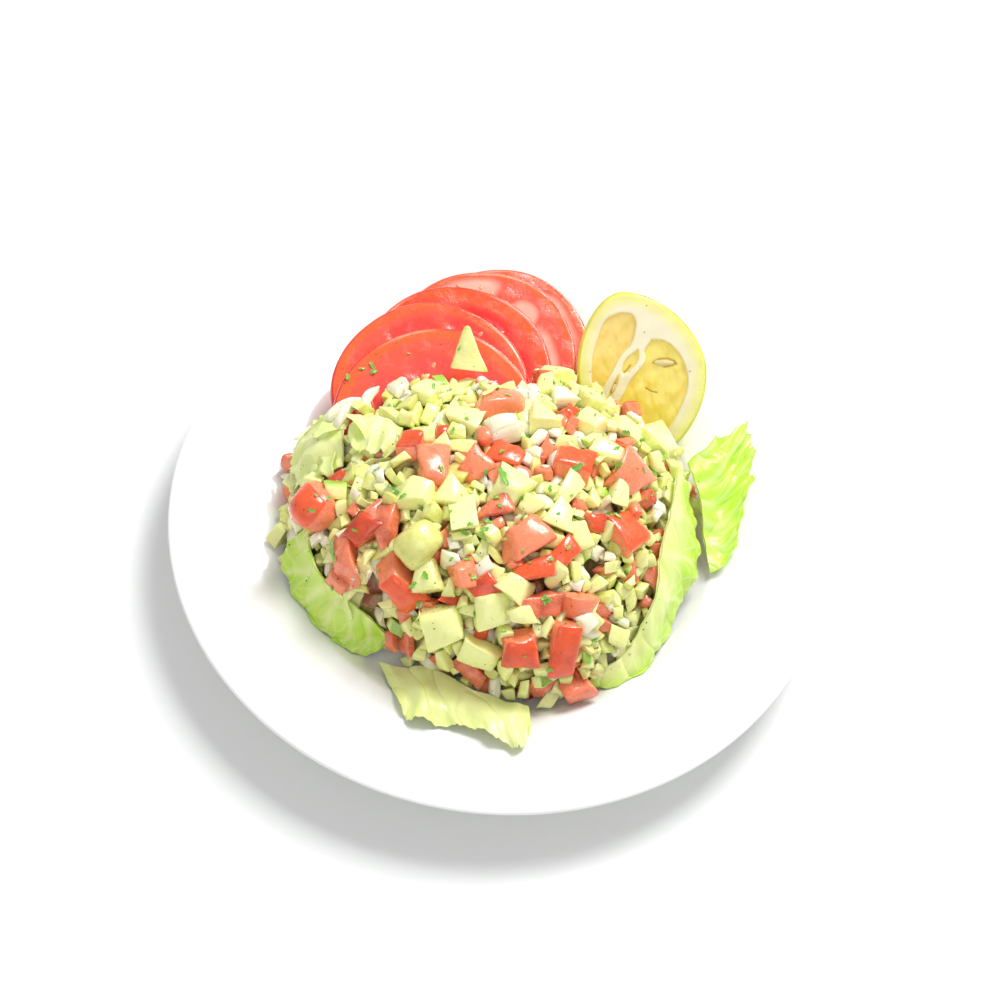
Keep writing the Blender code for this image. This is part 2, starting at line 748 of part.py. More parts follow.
def chunk_solid(angle, share, size, turn, roll, draw):
    """Return a chunk's corners and centre where it lies on the heap."""
    normal = heap_normal(angle, share)
    centre = heap_point(angle, share) + normal * size[2] * (0.5 - CHUNK_SINK)
    upright = normal.to_track_quat("Z", "Y").to_matrix()
    place = upright @ Matrix.Rotation(turn, 3, "Z") @ Matrix.Rotation(roll, 3, "X")
    solid = [centre + place @ corner for corner in chunk_corners(*size, draw)]
    lift = max(plate_z(math.hypot(point.x, point.y)) - point.z for point in solid) + CHUNK_FLOOR
    raise_by = Vector((0.0, 0.0, max(lift, 0.0)))
    return [point + raise_by for point in solid], centre + raise_by


def make_chunks(core, obstacles, draw):
    """Make the chopped pieces over the core, the largest first, clear of everything that isn't heap."""
    core_tree = tree_of(core)
    blocked = [tree_of(item) for item in obstacles]
    placed = []
    chunks = []
    for x, y, length, width, height, turn in LARGE_CHUNKS:
        angle, share = heap_place(x, y)
        solid, centre = chunk_solid(angle, share, (length, width, height), math.radians(turn), 0.0, draw)
        if fits(solid, centre, core_tree, blocked):
            placed.append((centre, CHUNK_SPACING * (length + width + height) / 6.0))
            chunks.append(hull_object("large", solid))
    for name, count, length, width, height in CHUNKS:
        made = 0
        for _ in range(CHUNK_TRIES * count):
            if made == count:
                break
            scale = draw.uniform(0.85, 1.15)
            size = (scale * length, scale * width, scale * height)
            reach = CHUNK_SPACING * sum(size) / 6.0
            angle = draw.uniform(0.0, 2.0 * math.pi)
            share = draw.random() ** CHUNK_CROWDING
            solid, centre = chunk_solid(angle, share, size, draw.uniform(0.0, 2.0 * math.pi),
                                        draw.gauss(0.0, 0.5), draw)
            if any((centre - other).length < reach + other_reach for other, other_reach in placed):
                continue
            if fits(solid, centre, core_tree, blocked):
                placed.append((centre, reach))
                chunks.append(hull_object(name, solid))
                made += 1
    return chunks


def fits(points, centre, core_tree, blocked):
    """Return True where a chunk sits in the core and clears every other piece."""
    if not hull_tree(points, centre, 0.0).overlap(core_tree):
        return False
    grown = hull_tree(points, centre, CHUNK_CLEARANCE)
    return not any(grown.overlap(tree) for tree in blocked)


def hull_tree(points, centre, grow):
    """Return a search tree, in metres, over the hull of points moved away from their centre."""
    shape = bmesh.new()
    for point in points:
        shape.verts.new((point + (point - centre).normalized() * grow) * MM)
    bmesh.ops.convex_hull(shape, input=shape.verts)
    tree = BVHTree.FromBMesh(shape)
    shape.free()
    return tree


def make_heap(material, obstacles, cutters):
    """Make the heap: a mound cut clear of the other pieces, with chopped pieces joined to it."""
    heap = make_heap_core()
    apply_boolean(heap, cutters, "DIFFERENCE", "MANIFOLD")
    keep_one_body(heap)
    draw = random.Random(SEED)
    apply_boolean(heap, make_chunks(heap, obstacles, draw), "UNION", "MANIFOLD")
    keep_one_body(heap)
    heap.data.materials.clear()
    heap.data.materials.append(material)
    return heap


def main():
    """Build the plate and everything on it."""
    clear_scene()
    porcelain = new_material("porcelain", (0.86, 0.86, 0.85), 0.18)
    tomato = new_material("tomato", (0.80, 0.09, 0.04), 0.30)
    lemon = new_material("lemon", (0.85, 0.68, 0.12), 0.35)
    lettuce = new_material("lettuce", (0.42, 0.66, 0.10), 0.45)
    cucumber = new_material("cucumber", (0.74, 0.78, 0.42), 0.35)
    salad = new_material("chopped_salad", (0.68, 0.55, 0.24), 0.35)
    plate = make_plate(porcelain)
    slices = make_slices(tomato)
    half_lemon = make_lemon("lemon_half", lemon)
    leaves, cutters = make_leaves(lettuce)
    wedge = make_wedge(cucumber)
    cutters += slice_cutters()
    cutters.append(make_lemon("lemon_cutter", None, GAP + CUT_MARGIN))
    make_heap(salad, [plate, half_lemon, wedge] + slices + leaves, cutters)


main()
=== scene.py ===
"""Chopped salad on a white rimmed plate, with tomato slices, half a lemon and lettuce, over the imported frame.

Builders work in millimetres in the frame's own axes, and Shape.build turns their points into metres.
"""

from __future__ import annotations

import logging
import math
from dataclasses import dataclass, field
from enum import Enum
from functools import cached_property
from typing import Any

import bmesh
import bpy
import numpy as np
from mathutils import Matrix, Vector
from mathutils.bvhtree import BVHTree


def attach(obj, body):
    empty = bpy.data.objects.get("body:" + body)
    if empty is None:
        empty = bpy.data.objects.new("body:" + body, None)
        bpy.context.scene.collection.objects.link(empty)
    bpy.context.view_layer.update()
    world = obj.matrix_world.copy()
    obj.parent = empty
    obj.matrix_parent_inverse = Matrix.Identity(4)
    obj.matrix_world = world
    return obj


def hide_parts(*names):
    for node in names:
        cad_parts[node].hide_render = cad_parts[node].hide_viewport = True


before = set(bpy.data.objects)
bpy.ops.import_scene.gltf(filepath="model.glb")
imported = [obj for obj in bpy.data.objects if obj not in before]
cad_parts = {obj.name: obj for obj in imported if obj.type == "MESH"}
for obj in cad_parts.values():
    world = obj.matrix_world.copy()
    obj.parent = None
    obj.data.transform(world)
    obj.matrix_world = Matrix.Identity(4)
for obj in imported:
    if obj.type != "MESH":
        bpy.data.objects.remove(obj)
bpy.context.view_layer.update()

LOG = logging.getLogger("salad")
MM = 0.001
BODY = "root"
TAU = 2.0 * math.pi
TINY = 1e-9
# How far deep pieces darken, partly to the dressing's colour and partly as painted shade
SOAK_AND_SHADE = 0.9
Colour = tuple[float, float, float]


def smoothstep(low: float, high: float, value: np.ndarray) -> np.ndarray:
    """Ease from 0 at low to 1 at high.

    Args:
        low: Value at which the result starts to rise.
        high: Value at which it reaches 1.
        value: Values to ease.

    Returns:
        The eased values, from 0 to 1.
    """
    t = np.clip((value - low) / (high - low), 0.0, 1.0)
    return t * t * (3.0 - 2.0 * t)


def spline(points: np.ndarray, t: np.ndarray) -> np.ndarray:
    """Follow a smooth curve through control points.

    Args:
        points: Control points along the first axis.
        t: Places on the curve, from 0 to 1.

    Returns:
        The points at t, along the first axis.
    """
    spans = len(points) - 1
    place = np.clip(t, 0.0, 1.0) * spans
    index = np.minimum(place.astype(int), spans - 1)
    padded = np.concatenate([[2.0 * points[0] - points[1]], points, [2.0 * points[-1] - points[-2]]])
    f = (place - index).reshape((-1,) + (1,) * (points.ndim - 1))
    a, b, c, d = (padded[index + k] for k in range(4))
    return 0.5 * (2.0 * b + (c - a) * f + (2.0 * a - 5.0 * b + 4.0 * c - d) * f ** 2
                  + (3.0 * b - a - 3.0 * c + d) * f ** 3)


def ripple(points: np.ndarray, size: float, rng: np.random.Generator, waves: int = 5) -> np.ndarray:
    """Sum a few sine waves of random direction over points.

    Args:
        points: Points, one a row.
        size: Length of a wave in the points' own unit.
        rng: Source of the random directions.
        waves: Number of waves.

    Returns:
        One value a point, mostly between -1 and 1.
    """
    directions = rng.normal(size=(waves, 3))
    directions /= np.linalg.norm(directions, axis=1, keepdims=True)
    turns = TAU / (size * rng.uniform(0.7, 1.6, waves))
    phases = points @ (directions * turns[:, None]).T + rng.uniform(0.0, TAU, waves)
    return np.sin(phases).sum(1) / waves ** 0.5


def grid_faces(rows: int, columns: int, closed: bool) -> np.ndarray:
    """List the quads of a grid of points that is stored row after row.

    Args:
        rows: Number of rows.
        columns: Number of points in a row.
        closed: True where each row is a ring.

    Returns:
        The quads as rows of four indices.
    """
    r, c = np.meshgrid(np.arange(rows - 1), np.arange(columns if closed else columns - 1), indexing="ij")
    after = (c + 1) % columns
    return np.stack([r * columns + c, r * columns + after, (r + 1) * columns + after, (r + 1) * columns + c],
                    -1).reshape(-1, 4)


def fan_faces(count: int) -> np.ndarray:
    """List the triangles from a ring of points to the hub that is stored after it."""
    order = np.arange(count)
    return np.stack([np.full(count, count), order, (order + 1) % count], -1)


def sheet_faces(rows: int, columns: int, turned: bool = False) -> np.ndarray:
    """List the quads of a thin sheet: a grid, the same grid behind it and the wall round both.

    Args:
        rows: Number of rows.
        columns: Number of points in a row.
        turned: True where the first grid's quads run the other way round.

    Returns:
        The quads as rows of four indices.
    """
    count = rows * columns
    grid = grid_faces(rows, columns, False)
    order = -1 if turned else 1
    edge = np.concatenate([np.arange(columns), np.arange(1, rows) * columns + columns - 1,
                           (rows - 1) * columns + np.arange(columns - 2, -1, -1),
                           np.arange(rows - 2, 0, -1) * columns])
    after = np.roll(edge, -1)
    wall = np.stack([edge, edge + count, after + count, after], -1)
    return np.vstack([grid[:, ::order], grid[:, ::-order] + count, wall])


def turned_flat(points: np.ndarray, turn: float) -> np.ndarray:
    """Return points turned about Z, in radians.

    Args:
        points: Points, one a row.
        turn: Turn in radians.

    Returns:
        The turned points.
    """
    x, y = points[:, 0], points[:, 1]
    c, s = math.cos(turn), math.sin(turn)
    return np.column_stack([x * c - y * s, x * s + y * c, points[:, 2]])


def grid_normals(grid: np.ndarray) -> np.ndarray:
    """Return the normals of a grid of points, shaped (rows, columns, 3)."""
    normals = np.cross(np.gradient(grid, axis=1), np.gradient(grid, axis=0))
    return normals / np.maximum(np.linalg.norm(normals, axis=2, keepdims=True), TINY)


@dataclass
class Shape:
    """A mesh that is being built, with painted values at its points."""

    points: list[np.ndarray] = field(default_factory=list)
    faces: list[list[int]] = field(default_factory=list)
    values: dict[str, list[np.ndarray]] = field(default_factory=dict)
    count: int = 0

    def add(self, points: np.ndarray, faces: np.ndarray, **values: np.ndarray) -> None:
        """Add points, the faces between them and one value a point of each name.

        Args:
            points: Points in millimetres.
            faces: Rows of indices into these points.
            **values: Painted values, numbers or vectors. Each call names the same ones.
        """
        self.points.append(points)
        self.faces.extend((np.asarray(faces) + self.count).tolist())
        for name, value in values.items():
            self.values.setdefault(name, []).append(np.asarray(value, float))
        self.count += len(points)

    def fan(self, centre: np.ndarray, ring: np.ndarray, **values: np.ndarray) -> None:
        """Close a ring of points with triangles to its centre."""
        self.add(np.vstack([ring, centre]), fan_faces(len(ring)), **values)

    def build(self, name: str, material: bpy.types.Material, slot: str, replaces: tuple[str, ...] = (),
              merge: float = 0.0) -> bpy.types.Object:
        """Make the object, paint it and let it ride on the frame.

        Args:
            name: Name of the piece.
            material: Its material.
            slot: Not used.
            replaces: CAD nodes that it stands for.
            merge: Distance in millimetres under which points become one.

        Returns:
            The object, in metres.
        """
        mesh = bpy.data.meshes.new(name)
        mesh.from_pydata((np.vstack(self.points) * MM).tolist(), [], self.faces)
        for key, parts in self.values.items():
            flat = np.concatenate(parts)
            kind, word = ("FLOAT", "value") if flat.ndim == 1 else ("FLOAT_VECTOR", "vector")
            mesh.attributes.new(key, kind, "POINT").data.foreach_set(word, flat.astype(np.float32).ravel())
        if merge > 0.0:
            weld(mesh, merge * MM)
        mesh.shade_smooth()
        mesh.materials.append(material)
        piece = bpy.data.objects.new(name, mesh)
        bpy.context.scene.collection.objects.link(piece)
        if replaces:
            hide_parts(*replaces)
        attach(piece, BODY)
        LOG.info("%s: %d points, %d faces", name, len(mesh.vertices), len(mesh.polygons))
        return piece


def weld(mesh: bpy.types.Mesh, distance: float) -> None:
    """Join a mesh's points that lie within a distance, in metres, and turn its faces outward.

    Args:
        mesh: Mesh that is changed.
        distance: Distance in metres.
    """
    work = bmesh.new()
    work.from_mesh(mesh)
    bmesh.ops.remove_doubles(work, verts=work.verts, dist=distance)
    bmesh.ops.recalc_face_normals(work, faces=work.faces)
    work.to_mesh(mesh)
    work.free()


class Wiring:
    """Adds nodes to one node tree and joins them."""

    def __init__(self, tree: bpy.types.NodeTree) -> None:
        """Keep the tree that the nodes go into."""
        self.tree = tree

    def node(self, kind: str, inputs: dict[Any, Any] | None = None, **settings: Any) -> bpy.types.Node:
        """Add a node.

        Args:
            kind: Blender's name of the node type.
            inputs: Values or sockets for its inputs, by name or index.
            **settings: Properties of the node itself.

        Returns:
            The node.
        """
        node = self.tree.nodes.new(kind)
        for key, value in settings.items():
            setattr(node, key, value)
        for key, value in (inputs or {}).items():
            self.put(node.inputs[key], value)
        return node

    def put(self, socket: bpy.types.NodeSocket, value: Any) -> None:
        """Link a socket, or set its value.

        Args:
            socket: Input socket.
            value: Socket or constant.
        """
        if isinstance(value, bpy.types.NodeSocket):
            self.tree.links.new(value, socket)
        elif isinstance(value, tuple) and len(value) == 3 and socket.type == "RGBA":
            socket.default_value = (*value, 1.0)
        else:
            socket.default_value = value

    def math(self, operation: str, a: Any, b: Any = 0.0, clamp: bool = False) -> bpy.types.NodeSocket:
        """Work out one step of arithmetic with two numbers."""
        return self.node("ShaderNodeMath", {0: a, 1: b}, operation=operation, use_clamp=clamp).outputs[0]

    def mix(self, factor: Any, a: Any, b: Any) -> bpy.types.NodeSocket:
        """Blend from colour a to colour b."""
        return self.node("ShaderNodeMix", {0: factor, 6: a, 7: b}, data_type="RGBA").outputs[2]

    def ease(self, value: Any, low: float, high: float) -> bpy.types.NodeSocket:
        """Map low..high smoothly to 0..1."""
        return self.node("ShaderNodeMapRange", {0: value, 1: low, 2: high},
                         interpolation_type="SMOOTHSTEP").outputs[0]

    def painted(self, name: str, vector: bool = False) -> bpy.types.NodeSocket:
        """Read a value that was painted on the mesh."""
        node = self.node("ShaderNodeAttribute", attribute_name=name)
        return node.outputs["Vector" if vector else "Fac"]

    def stretch(self, place: Any, factors: Colour) -> bpy.types.NodeSocket:
        """Scale a place by a factor on each axis."""
        return self.node("ShaderNodeVectorMath", {0: place, 1: factors}, operation="MULTIPLY").outputs[0]

    def noise(self, place: Any, scale: Any, detail: float = 3.0, rough: float = 0.5) -> bpy.types.NodeSocket:
        """Add a noise texture and return its value."""
        return self.node("ShaderNodeTexNoise", {"Vector": place, "Scale": scale, "Detail": detail,
                                                "Roughness": rough}).outputs["Fac"]


def new_group(name: str, inputs: tuple[tuple[str, str], ...],
              outputs: tuple[tuple[str, str], ...]) -> tuple[Wiring, bpy.types.Node, bpy.types.Node]:
    """Start a shader node group.

    Args:
        name: Name of the group.
        inputs: Name and kind (Float, Vector or Color) of each input.
        outputs: Name and kind of each output.

    Returns:
        The wiring of the group, its input node and its output node.
    """
    group = bpy.data.node_groups.new(name, "ShaderNodeTree")
    for direction, sockets in (("INPUT", inputs), ("OUTPUT", outputs)):
        for label, kind in sockets:
            group.interface.new_socket(label, in_out=direction, socket_type=f"NodeSocket{kind}")
    wiring = Wiring(group)
    return wiring, wiring.node("NodeGroupInput"), wiring.node("NodeGroupOutput")


@dataclass
class Effects:
    """The shader node groups that several finishes share, and how strong they are."""

    contrast: float = 1.7
    tone_share: float = 0.95
    lightness: float = 1.0
    fine_share: float = 0.35
    least_roughness: float = 0.1

    def __post_init__(self) -> None:
        """Build every group once."""
        self.mottle = self.make_mottle()
        self.wet = self.make_wet()
        self.cells = self.make_cells()

    def make_mottle(self) -> bpy.types.NodeTree:
        """Make the group that blends two colours in soft patches, moved by the piece's own tone.

        Returns:
            The node group.
        """
        inputs = (("Place", "Vector"), ("Scale", "Float"), ("Tone", "Float"), ("Dark", "Color"),
                  ("Light", "Color"))
        w, source, result = new_group("mottled_colour", inputs, (("Colour", "Color"),))
        patches = w.noise(source.outputs["Place"], source.outputs["Scale"], 4.0, 0.55)
        spread = w.math("MULTIPLY", w.math("SUBTRACT", patches, 0.5), self.contrast)
        tone = w.math("MULTIPLY", w.math("SUBTRACT", source.outputs["Tone"], 0.5), self.tone_share)
        total = w.math("ADD", w.math("ADD", spread, tone), self.lightness, clamp=True)
        w.put(result.inputs["Colour"], w.mix(total, source.outputs["Dark"], source.outputs["Light"]))
        return w.tree

    def make_wet(self) -> bpy.types.NodeTree:
        """Make the group for the uneven, dressed surface of cut vegetables.

        Returns:
            The node group.
        """
        w, source, result = new_group(
            "wet_surface", (("Place", "Vector"), ("Scale", "Float"), ("Dry", "Float")),
            (("Height", "Float"), ("Roughness", "Float")))
        coarse = w.noise(source.outputs["Place"], source.outputs["Scale"], 3.0, 0.6)
        fine_scale = w.math("MULTIPLY", source.outputs["Scale"], 5.0)
        fine = w.noise(source.outputs["Place"], fine_scale, 2.0, 0.5)
        w.put(result.inputs["Height"], w.math("ADD", coarse, w.math("MULTIPLY", fine, self.fine_share)))
        film = w.math("MULTIPLY", w.ease(coarse, 0.35, 0.7), source.outputs["Dry"])
        w.put(result.inputs["Roughness"], w.math("ADD", film, self.least_roughness, clamp=True))
        return w.tree

    @staticmethod
    def make_cells() -> bpy.types.NodeTree:
        """Make the group for close-set cells: pulp sacs, peel pores and leaf blisters.

        Returns:
            The node group.
        """
        w, source, result = new_group("cells", (("Place", "Vector"), ("Scale", "Float")),
                                      (("Height", "Float"), ("Edge", "Float")))
        where = {"Vector": source.outputs["Place"], "Scale": source.outputs["Scale"]}
        cell = w.node("ShaderNodeTexVoronoi", where, feature="SMOOTH_F1")
        border = w.node("ShaderNodeTexVoronoi", where, feature="DISTANCE_TO_EDGE")
        w.put(result.inputs["Height"], w.math("SUBTRACT", 1.0, cell.outputs["Distance"]))
        w.put(result.inputs["Edge"], w.ease(border.outputs["Distance"], 0.16, 0.0))
        return w.tree


@dataclass(frozen=True)
class Gloss:
    """The constant shader values of a finish."""

    roughness: float = 0.3
    coat: float = 0.0
    coat_roughness: float = 0.08
    subsurface: float = 0.0
    radius: Colour = (0.003, 0.0015, 0.0008)
    specular: float = 0.5
    bump: float = 0.4
    bump_depth: float = 0.0005


@dataclass
class Finish:
    """A material in the making: its shader, its wiring and the shared effects."""

    name: str
    effects: Effects
    gloss: Gloss

    def __post_init__(self) -> None:
        """Make the material with its constant values set on the shader."""
        self.material = bpy.data.materials.new(self.name)
        self.material.use_nodes = True
        self.wiring = Wiring(self.material.node_tree)
        self.shader = self.material.node_tree.nodes["Principled BSDF"]
        constants = {"Roughness": self.gloss.roughness, "Coat Weight": self.gloss.coat,
                     "Coat Roughness": self.gloss.coat_roughness, "Subsurface Weight": self.gloss.subsurface,
                     "Subsurface Radius": self.gloss.radius, "Subsurface Scale": 1.0,
                     "Specular IOR Level": self.gloss.specular}
        for key, value in constants.items():
            self.shader.inputs[key].default_value = value

    def group(self, tree: bpy.types.NodeTree, **inputs: Any) -> bpy.types.Node:
        """Place a shared effect with its own values, given by input name with _ for a space."""
        named = {key.replace("_", " "): value for key, value in inputs.items()}
        return self.wiring.node("ShaderNodeGroup", named, node_tree=tree)

    def mottle(self, place: Any, scale: float, dark: Colour, light: Colour,
               tone: Any = 0.5) -> bpy.types.NodeSocket:
        """Blend two colours in patches and return the colour."""
        return self.group(self.effects.mottle, Place=place, Scale=scale, Tone=tone, Dark=dark,
                          Light=light).outputs["Colour"]

    def soak_and_shade(self, colour: Any, deep: Colour) -> bpy.types.NodeSocket:
        """Darken the colour where a piece lies deep in the heap: partly towards that of the dressing, partly
        painted shade between the pieces and on the heap's low front.
        """
        w = self.wiring
        return w.mix(w.math("MULTIPLY", w.painted("depth"), SOAK_AND_SHADE), colour, deep)

    def wet(self, colour: Any, place: Any, scale: float, dry: float) -> bpy.types.Material:
        """Finish with the wet surface, at a scale and with how dull its dry places are."""
        surface = self.group(self.effects.wet, Place=place, Scale=scale, Dry=dry)
        return self.finish(colour, surface.outputs["Height"], surface.outputs["Roughness"])

    def finish(self, colour: Any, height: Any = None, roughness: Any = None) -> bpy.types.Material:
        """Join colour, relief and roughness to the shader and return the material.

        Args:
            colour: Colour or its socket.
            height: Socket of the relief, if any.
            roughness: Socket of the roughness, where it varies.

        Returns:
            The material.
        """
        self.wiring.put(self.shader.inputs["Base Color"], colour)
        if roughness is not None:
            self.wiring.put(self.shader.inputs["Roughness"], roughness)
        if height is not None:
            bump = self.wiring.node("ShaderNodeBump", {"Strength": self.gloss.bump, "Height": height,
                                                       "Distance": self.gloss.bump_depth})
            self.wiring.put(self.shader.inputs["Normal"], bump.outputs[0])
        return self.material


class Larder:
    """Every finish of the salad, by name."""

    def __init__(self) -> None:
        """Make the shared effects and then the finishes."""
        self.effects = Effects()
        self.glaze = self.make_glaze()
        self.tomato = self.make_tomato()
        self.slice = self.make_slice()
        self.cucumber = self.make_cucumber()
        self.onion = self.make_onion()
        self.lemon = self.make_lemon()
        self.lettuce = self.make_lettuce()
        self.parsley = self.make_parsley()
        self.pepper = self.make_pepper()
        # The heap's wet inside, dark partly as painted shade between the pieces
        self.juice = self.make_mince_and_shade()

    def make_glaze(self) -> bpy.types.Material:
        """White glaze, with a bare foot ring.

        Returns:
            The material.
        """
        f = Finish("porcelain_glaze", self.effects,
                   Gloss(coat=0.5, coat_roughness=0.04, bump=0.06, bump_depth=0.0004))
        w = f.wiring
        place = w.painted("place", True)
        foot = w.painted("foot")
        glazed = f.mottle(place, 0.02, (0.86, 0.86, 0.85), (0.90, 0.90, 0.895))
        bare = f.mottle(place, 0.9, (0.66, 0.63, 0.58), (0.76, 0.74, 0.69))
        wave = w.noise(place, 0.05, 2.0)
        grain = w.math("MULTIPLY", w.noise(place, 2.5, 2.0), foot)
        rough = w.math("ADD", w.math("MULTIPLY", foot, 0.5), w.math("MULTIPLY", wave, 0.2))
        return f.finish(w.mix(foot, glazed, bare), w.math("ADD", wave, grain), rough)

    def make_tomato(self) -> bpy.types.Material:
        """Diced tomato: waxy skin on one side and wet, fibrous flesh on the others.

        Returns:
            The material.
        """
        f = Finish("diced_tomato", self.effects,
                   Gloss(coat=0.45, subsurface=0.3, radius=(0.004, 0.0012, 0.0006)))
        w = f.wiring
        place, tone, skin = w.painted("place", True), w.painted("tone"), w.painted("skin")
        flesh = f.mottle(place, 0.2, (0.46, 0.03, 0.010), (1.0, 0.27, 0.13), tone)
        peel = f.mottle(place, 0.12, (0.40, 0.022, 0.006), (0.93, 0.12, 0.03), tone)
        fibres = w.noise(w.stretch(place, (1.6, 1.6, 0.25)), 0.9)
        veined = w.mix(w.math("MULTIPLY", w.ease(fibres, 0.52, 0.72), 0.4), flesh, (1.0, 0.56, 0.36))
        colour = f.soak_and_shade(w.mix(w.ease(skin, 0.45, 0.8), veined, peel), (0.16, 0.012, 0.004))
        return f.wet(colour, place, 0.35, 0.32)

    def make_slice(self) -> bpy.types.Material:
        """Sliced tomato: skin, wall, seed chambers with their gel and seeds, a pale core, and a painted
        highlight along the skin edge.

        Returns:
            The material.
        """
        f = Finish("sliced_tomato", self.effects,
                   Gloss(coat=0.5, subsurface=0.12, radius=(0.004, 0.0012, 0.0006), bump=0.35))
        w = f.wiring
        place, tone = w.painted("place", True), w.painted("tone")
        wall = f.mottle(place, 0.06, (0.84, 0.035, 0.008), (1.0, 0.125, 0.03), tone)
        flesh = f.mottle(place, 0.08, (0.86, 0.026, 0.012), (1.0, 0.10, 0.055), tone)
        deep = f.mottle(place, 0.1, (0.74, 0.007, 0.007), (0.92, 0.030, 0.024), tone)
        clear = f.mottle(place, 0.1, (0.97, 0.26, 0.18), (1.0, 0.50, 0.38), tone)
        core = f.mottle(place, 0.1, (0.86, 0.035, 0.075), (1.0, 0.13, 0.18), tone)
        seed = f.mottle(place, 0.6, (0.90, 0.24, 0.10), (0.98, 0.40, 0.18))
        colour = w.mix(w.painted("wall"), flesh, wall)
        colour = w.mix(w.painted("gel"), colour, w.mix(w.painted("ripe"), clear, deep))
        colour = w.mix(w.painted("core"), colour, core)
        colour = w.mix(w.painted("rim"), colour, (0.72, 0.03, 0.01))
        # Painted highlight: the pale line inside the skin edge
        colour = w.mix(w.math("MULTIPLY", w.painted("line"), 0.7), colour, (1.0, 0.62, 0.42))
        colour = w.mix(w.painted("seed"), colour, seed)
        return f.wet(colour, place, 0.28, 0.3)

    def make_cucumber(self) -> bpy.types.Material:
        """Diced cucumber: pale wet flesh with a green band under the peel.

        Returns:
            The material.
        """
        f = Finish("diced_cucumber", self.effects,
                   Gloss(coat=0.35, subsurface=0.42, radius=(0.004, 0.004, 0.0012)))
        w = f.wiring
        place, tone, skin = w.painted("place", True), w.painted("tone"), w.painted("skin")
        flesh = f.mottle(place, 0.15, (0.60, 0.55, 0.08), (0.95, 0.98, 0.40), tone)
        band = f.mottle(place, 0.25, (0.45, 0.66, 0.10), (0.66, 0.84, 0.22), tone)
        peel = f.mottle(place, 0.5, (0.16, 0.36, 0.03), (0.36, 0.62, 0.08), tone)
        colour = w.mix(w.ease(skin, 0.1, 0.6), flesh, band)
        colour = w.mix(w.ease(skin, 0.8, 1.0), colour, peel)
        colour = f.soak_and_shade(colour, (0.17, 0.115, 0.02))
        return f.wet(colour, place, 0.4, 0.3)

    def make_onion(self) -> bpy.types.Material:
        """Diced onion: glassy white layers with a faint lilac line.

        Returns:
            The material.
        """
        f = Finish("diced_onion", self.effects,
                   Gloss(coat=0.45, subsurface=0.6, radius=(0.004, 0.0035, 0.002)))
        w = f.wiring
        place, tone, skin = w.painted("place", True), w.painted("tone"), w.painted("skin")
        flesh = f.mottle(place, 0.2, (0.70, 0.52, 0.20), (0.98, 0.92, 0.68), tone)
        lines = w.noise(w.stretch(place, (0.15, 0.15, 1.6)), 0.8, 2.0)
        layered = w.mix(w.math("MULTIPLY", w.ease(lines, 0.55, 0.7), 0.5), flesh, (0.66, 0.60, 0.40))
        tint = w.math("MULTIPLY", w.math("MULTIPLY", w.ease(skin, 0.6, 1.0), w.ease(tone, 0.6, 0.9)), 0.35)
        lilac = f.soak_and_shade(w.mix(tint, layered, (0.80, 0.52, 0.62)), (0.20, 0.12, 0.04))
        return f.wet(lilac, place, 0.45, 0.25)

    def make_lemon(self) -> bpy.types.Material:
        """Cut lemon: juice sacs, membranes, pith and pored peel.

        Returns:
            The material.
        """
        f = Finish("cut_lemon", self.effects,
                   Gloss(coat=0.4, subsurface=0.3, radius=(0.004, 0.003, 0.001), bump=0.5, bump_depth=0.0006))
        w = f.wiring
        place, pulp, peel = w.painted("place", True), w.painted("pulp"), w.painted("peel")
        sacs = f.group(self.effects.cells, Place=w.stretch(place, (0.5, 1.0, 1.0)), Scale=0.45)
        orange = f.mottle(place, 0.1, (1.0, 0.55, 0.06), (1.0, 0.72, 0.17))
        gold = f.mottle(place, 0.1, (1.0, 0.64, 0.05), (1.0, 0.82, 0.13))
        flesh = w.mix(w.painted("tone"), gold, orange)
        flesh = w.mix(w.math("MULTIPLY", sacs.outputs["Edge"], 0.18), flesh, (1.0, 0.84, 0.34))
        pith = w.mix(w.painted("rind"), f.mottle(place, 0.3, (0.96, 0.84, 0.54), (1.0, 0.92, 0.70)),
                     f.mottle(place, 0.2, (0.88, 0.84, 0.16), (0.96, 0.92, 0.32)))
        zest = f.mottle(place, 0.12, (0.62, 0.72, 0.05), (0.84, 0.85, 0.12))
        seed = f.mottle(place, 0.5, (0.86, 0.56, 0.16), (0.96, 0.76, 0.36))
        colour = w.mix(pulp, pith, flesh)
        colour = w.mix(peel, colour, zest)
        colour = w.mix(w.painted("seed"), colour, seed)
        # Painted shade: dark brown along the pressed-in grooves and round the seed
        colour = w.mix(w.painted("groove_shade"), colour, (0.34, 0.15, 0.015))
        pores = f.group(self.effects.cells, Place=place, Scale=0.8)
        relief = w.math("ADD", w.math("MULTIPLY", sacs.outputs["Height"], pulp),
                        w.math("MULTIPLY", pores.outputs["Height"], peel))
        rough = w.math("SUBTRACT", 0.5, w.math("MULTIPLY", pulp, 0.32))
        return f.finish(colour, relief, rough)

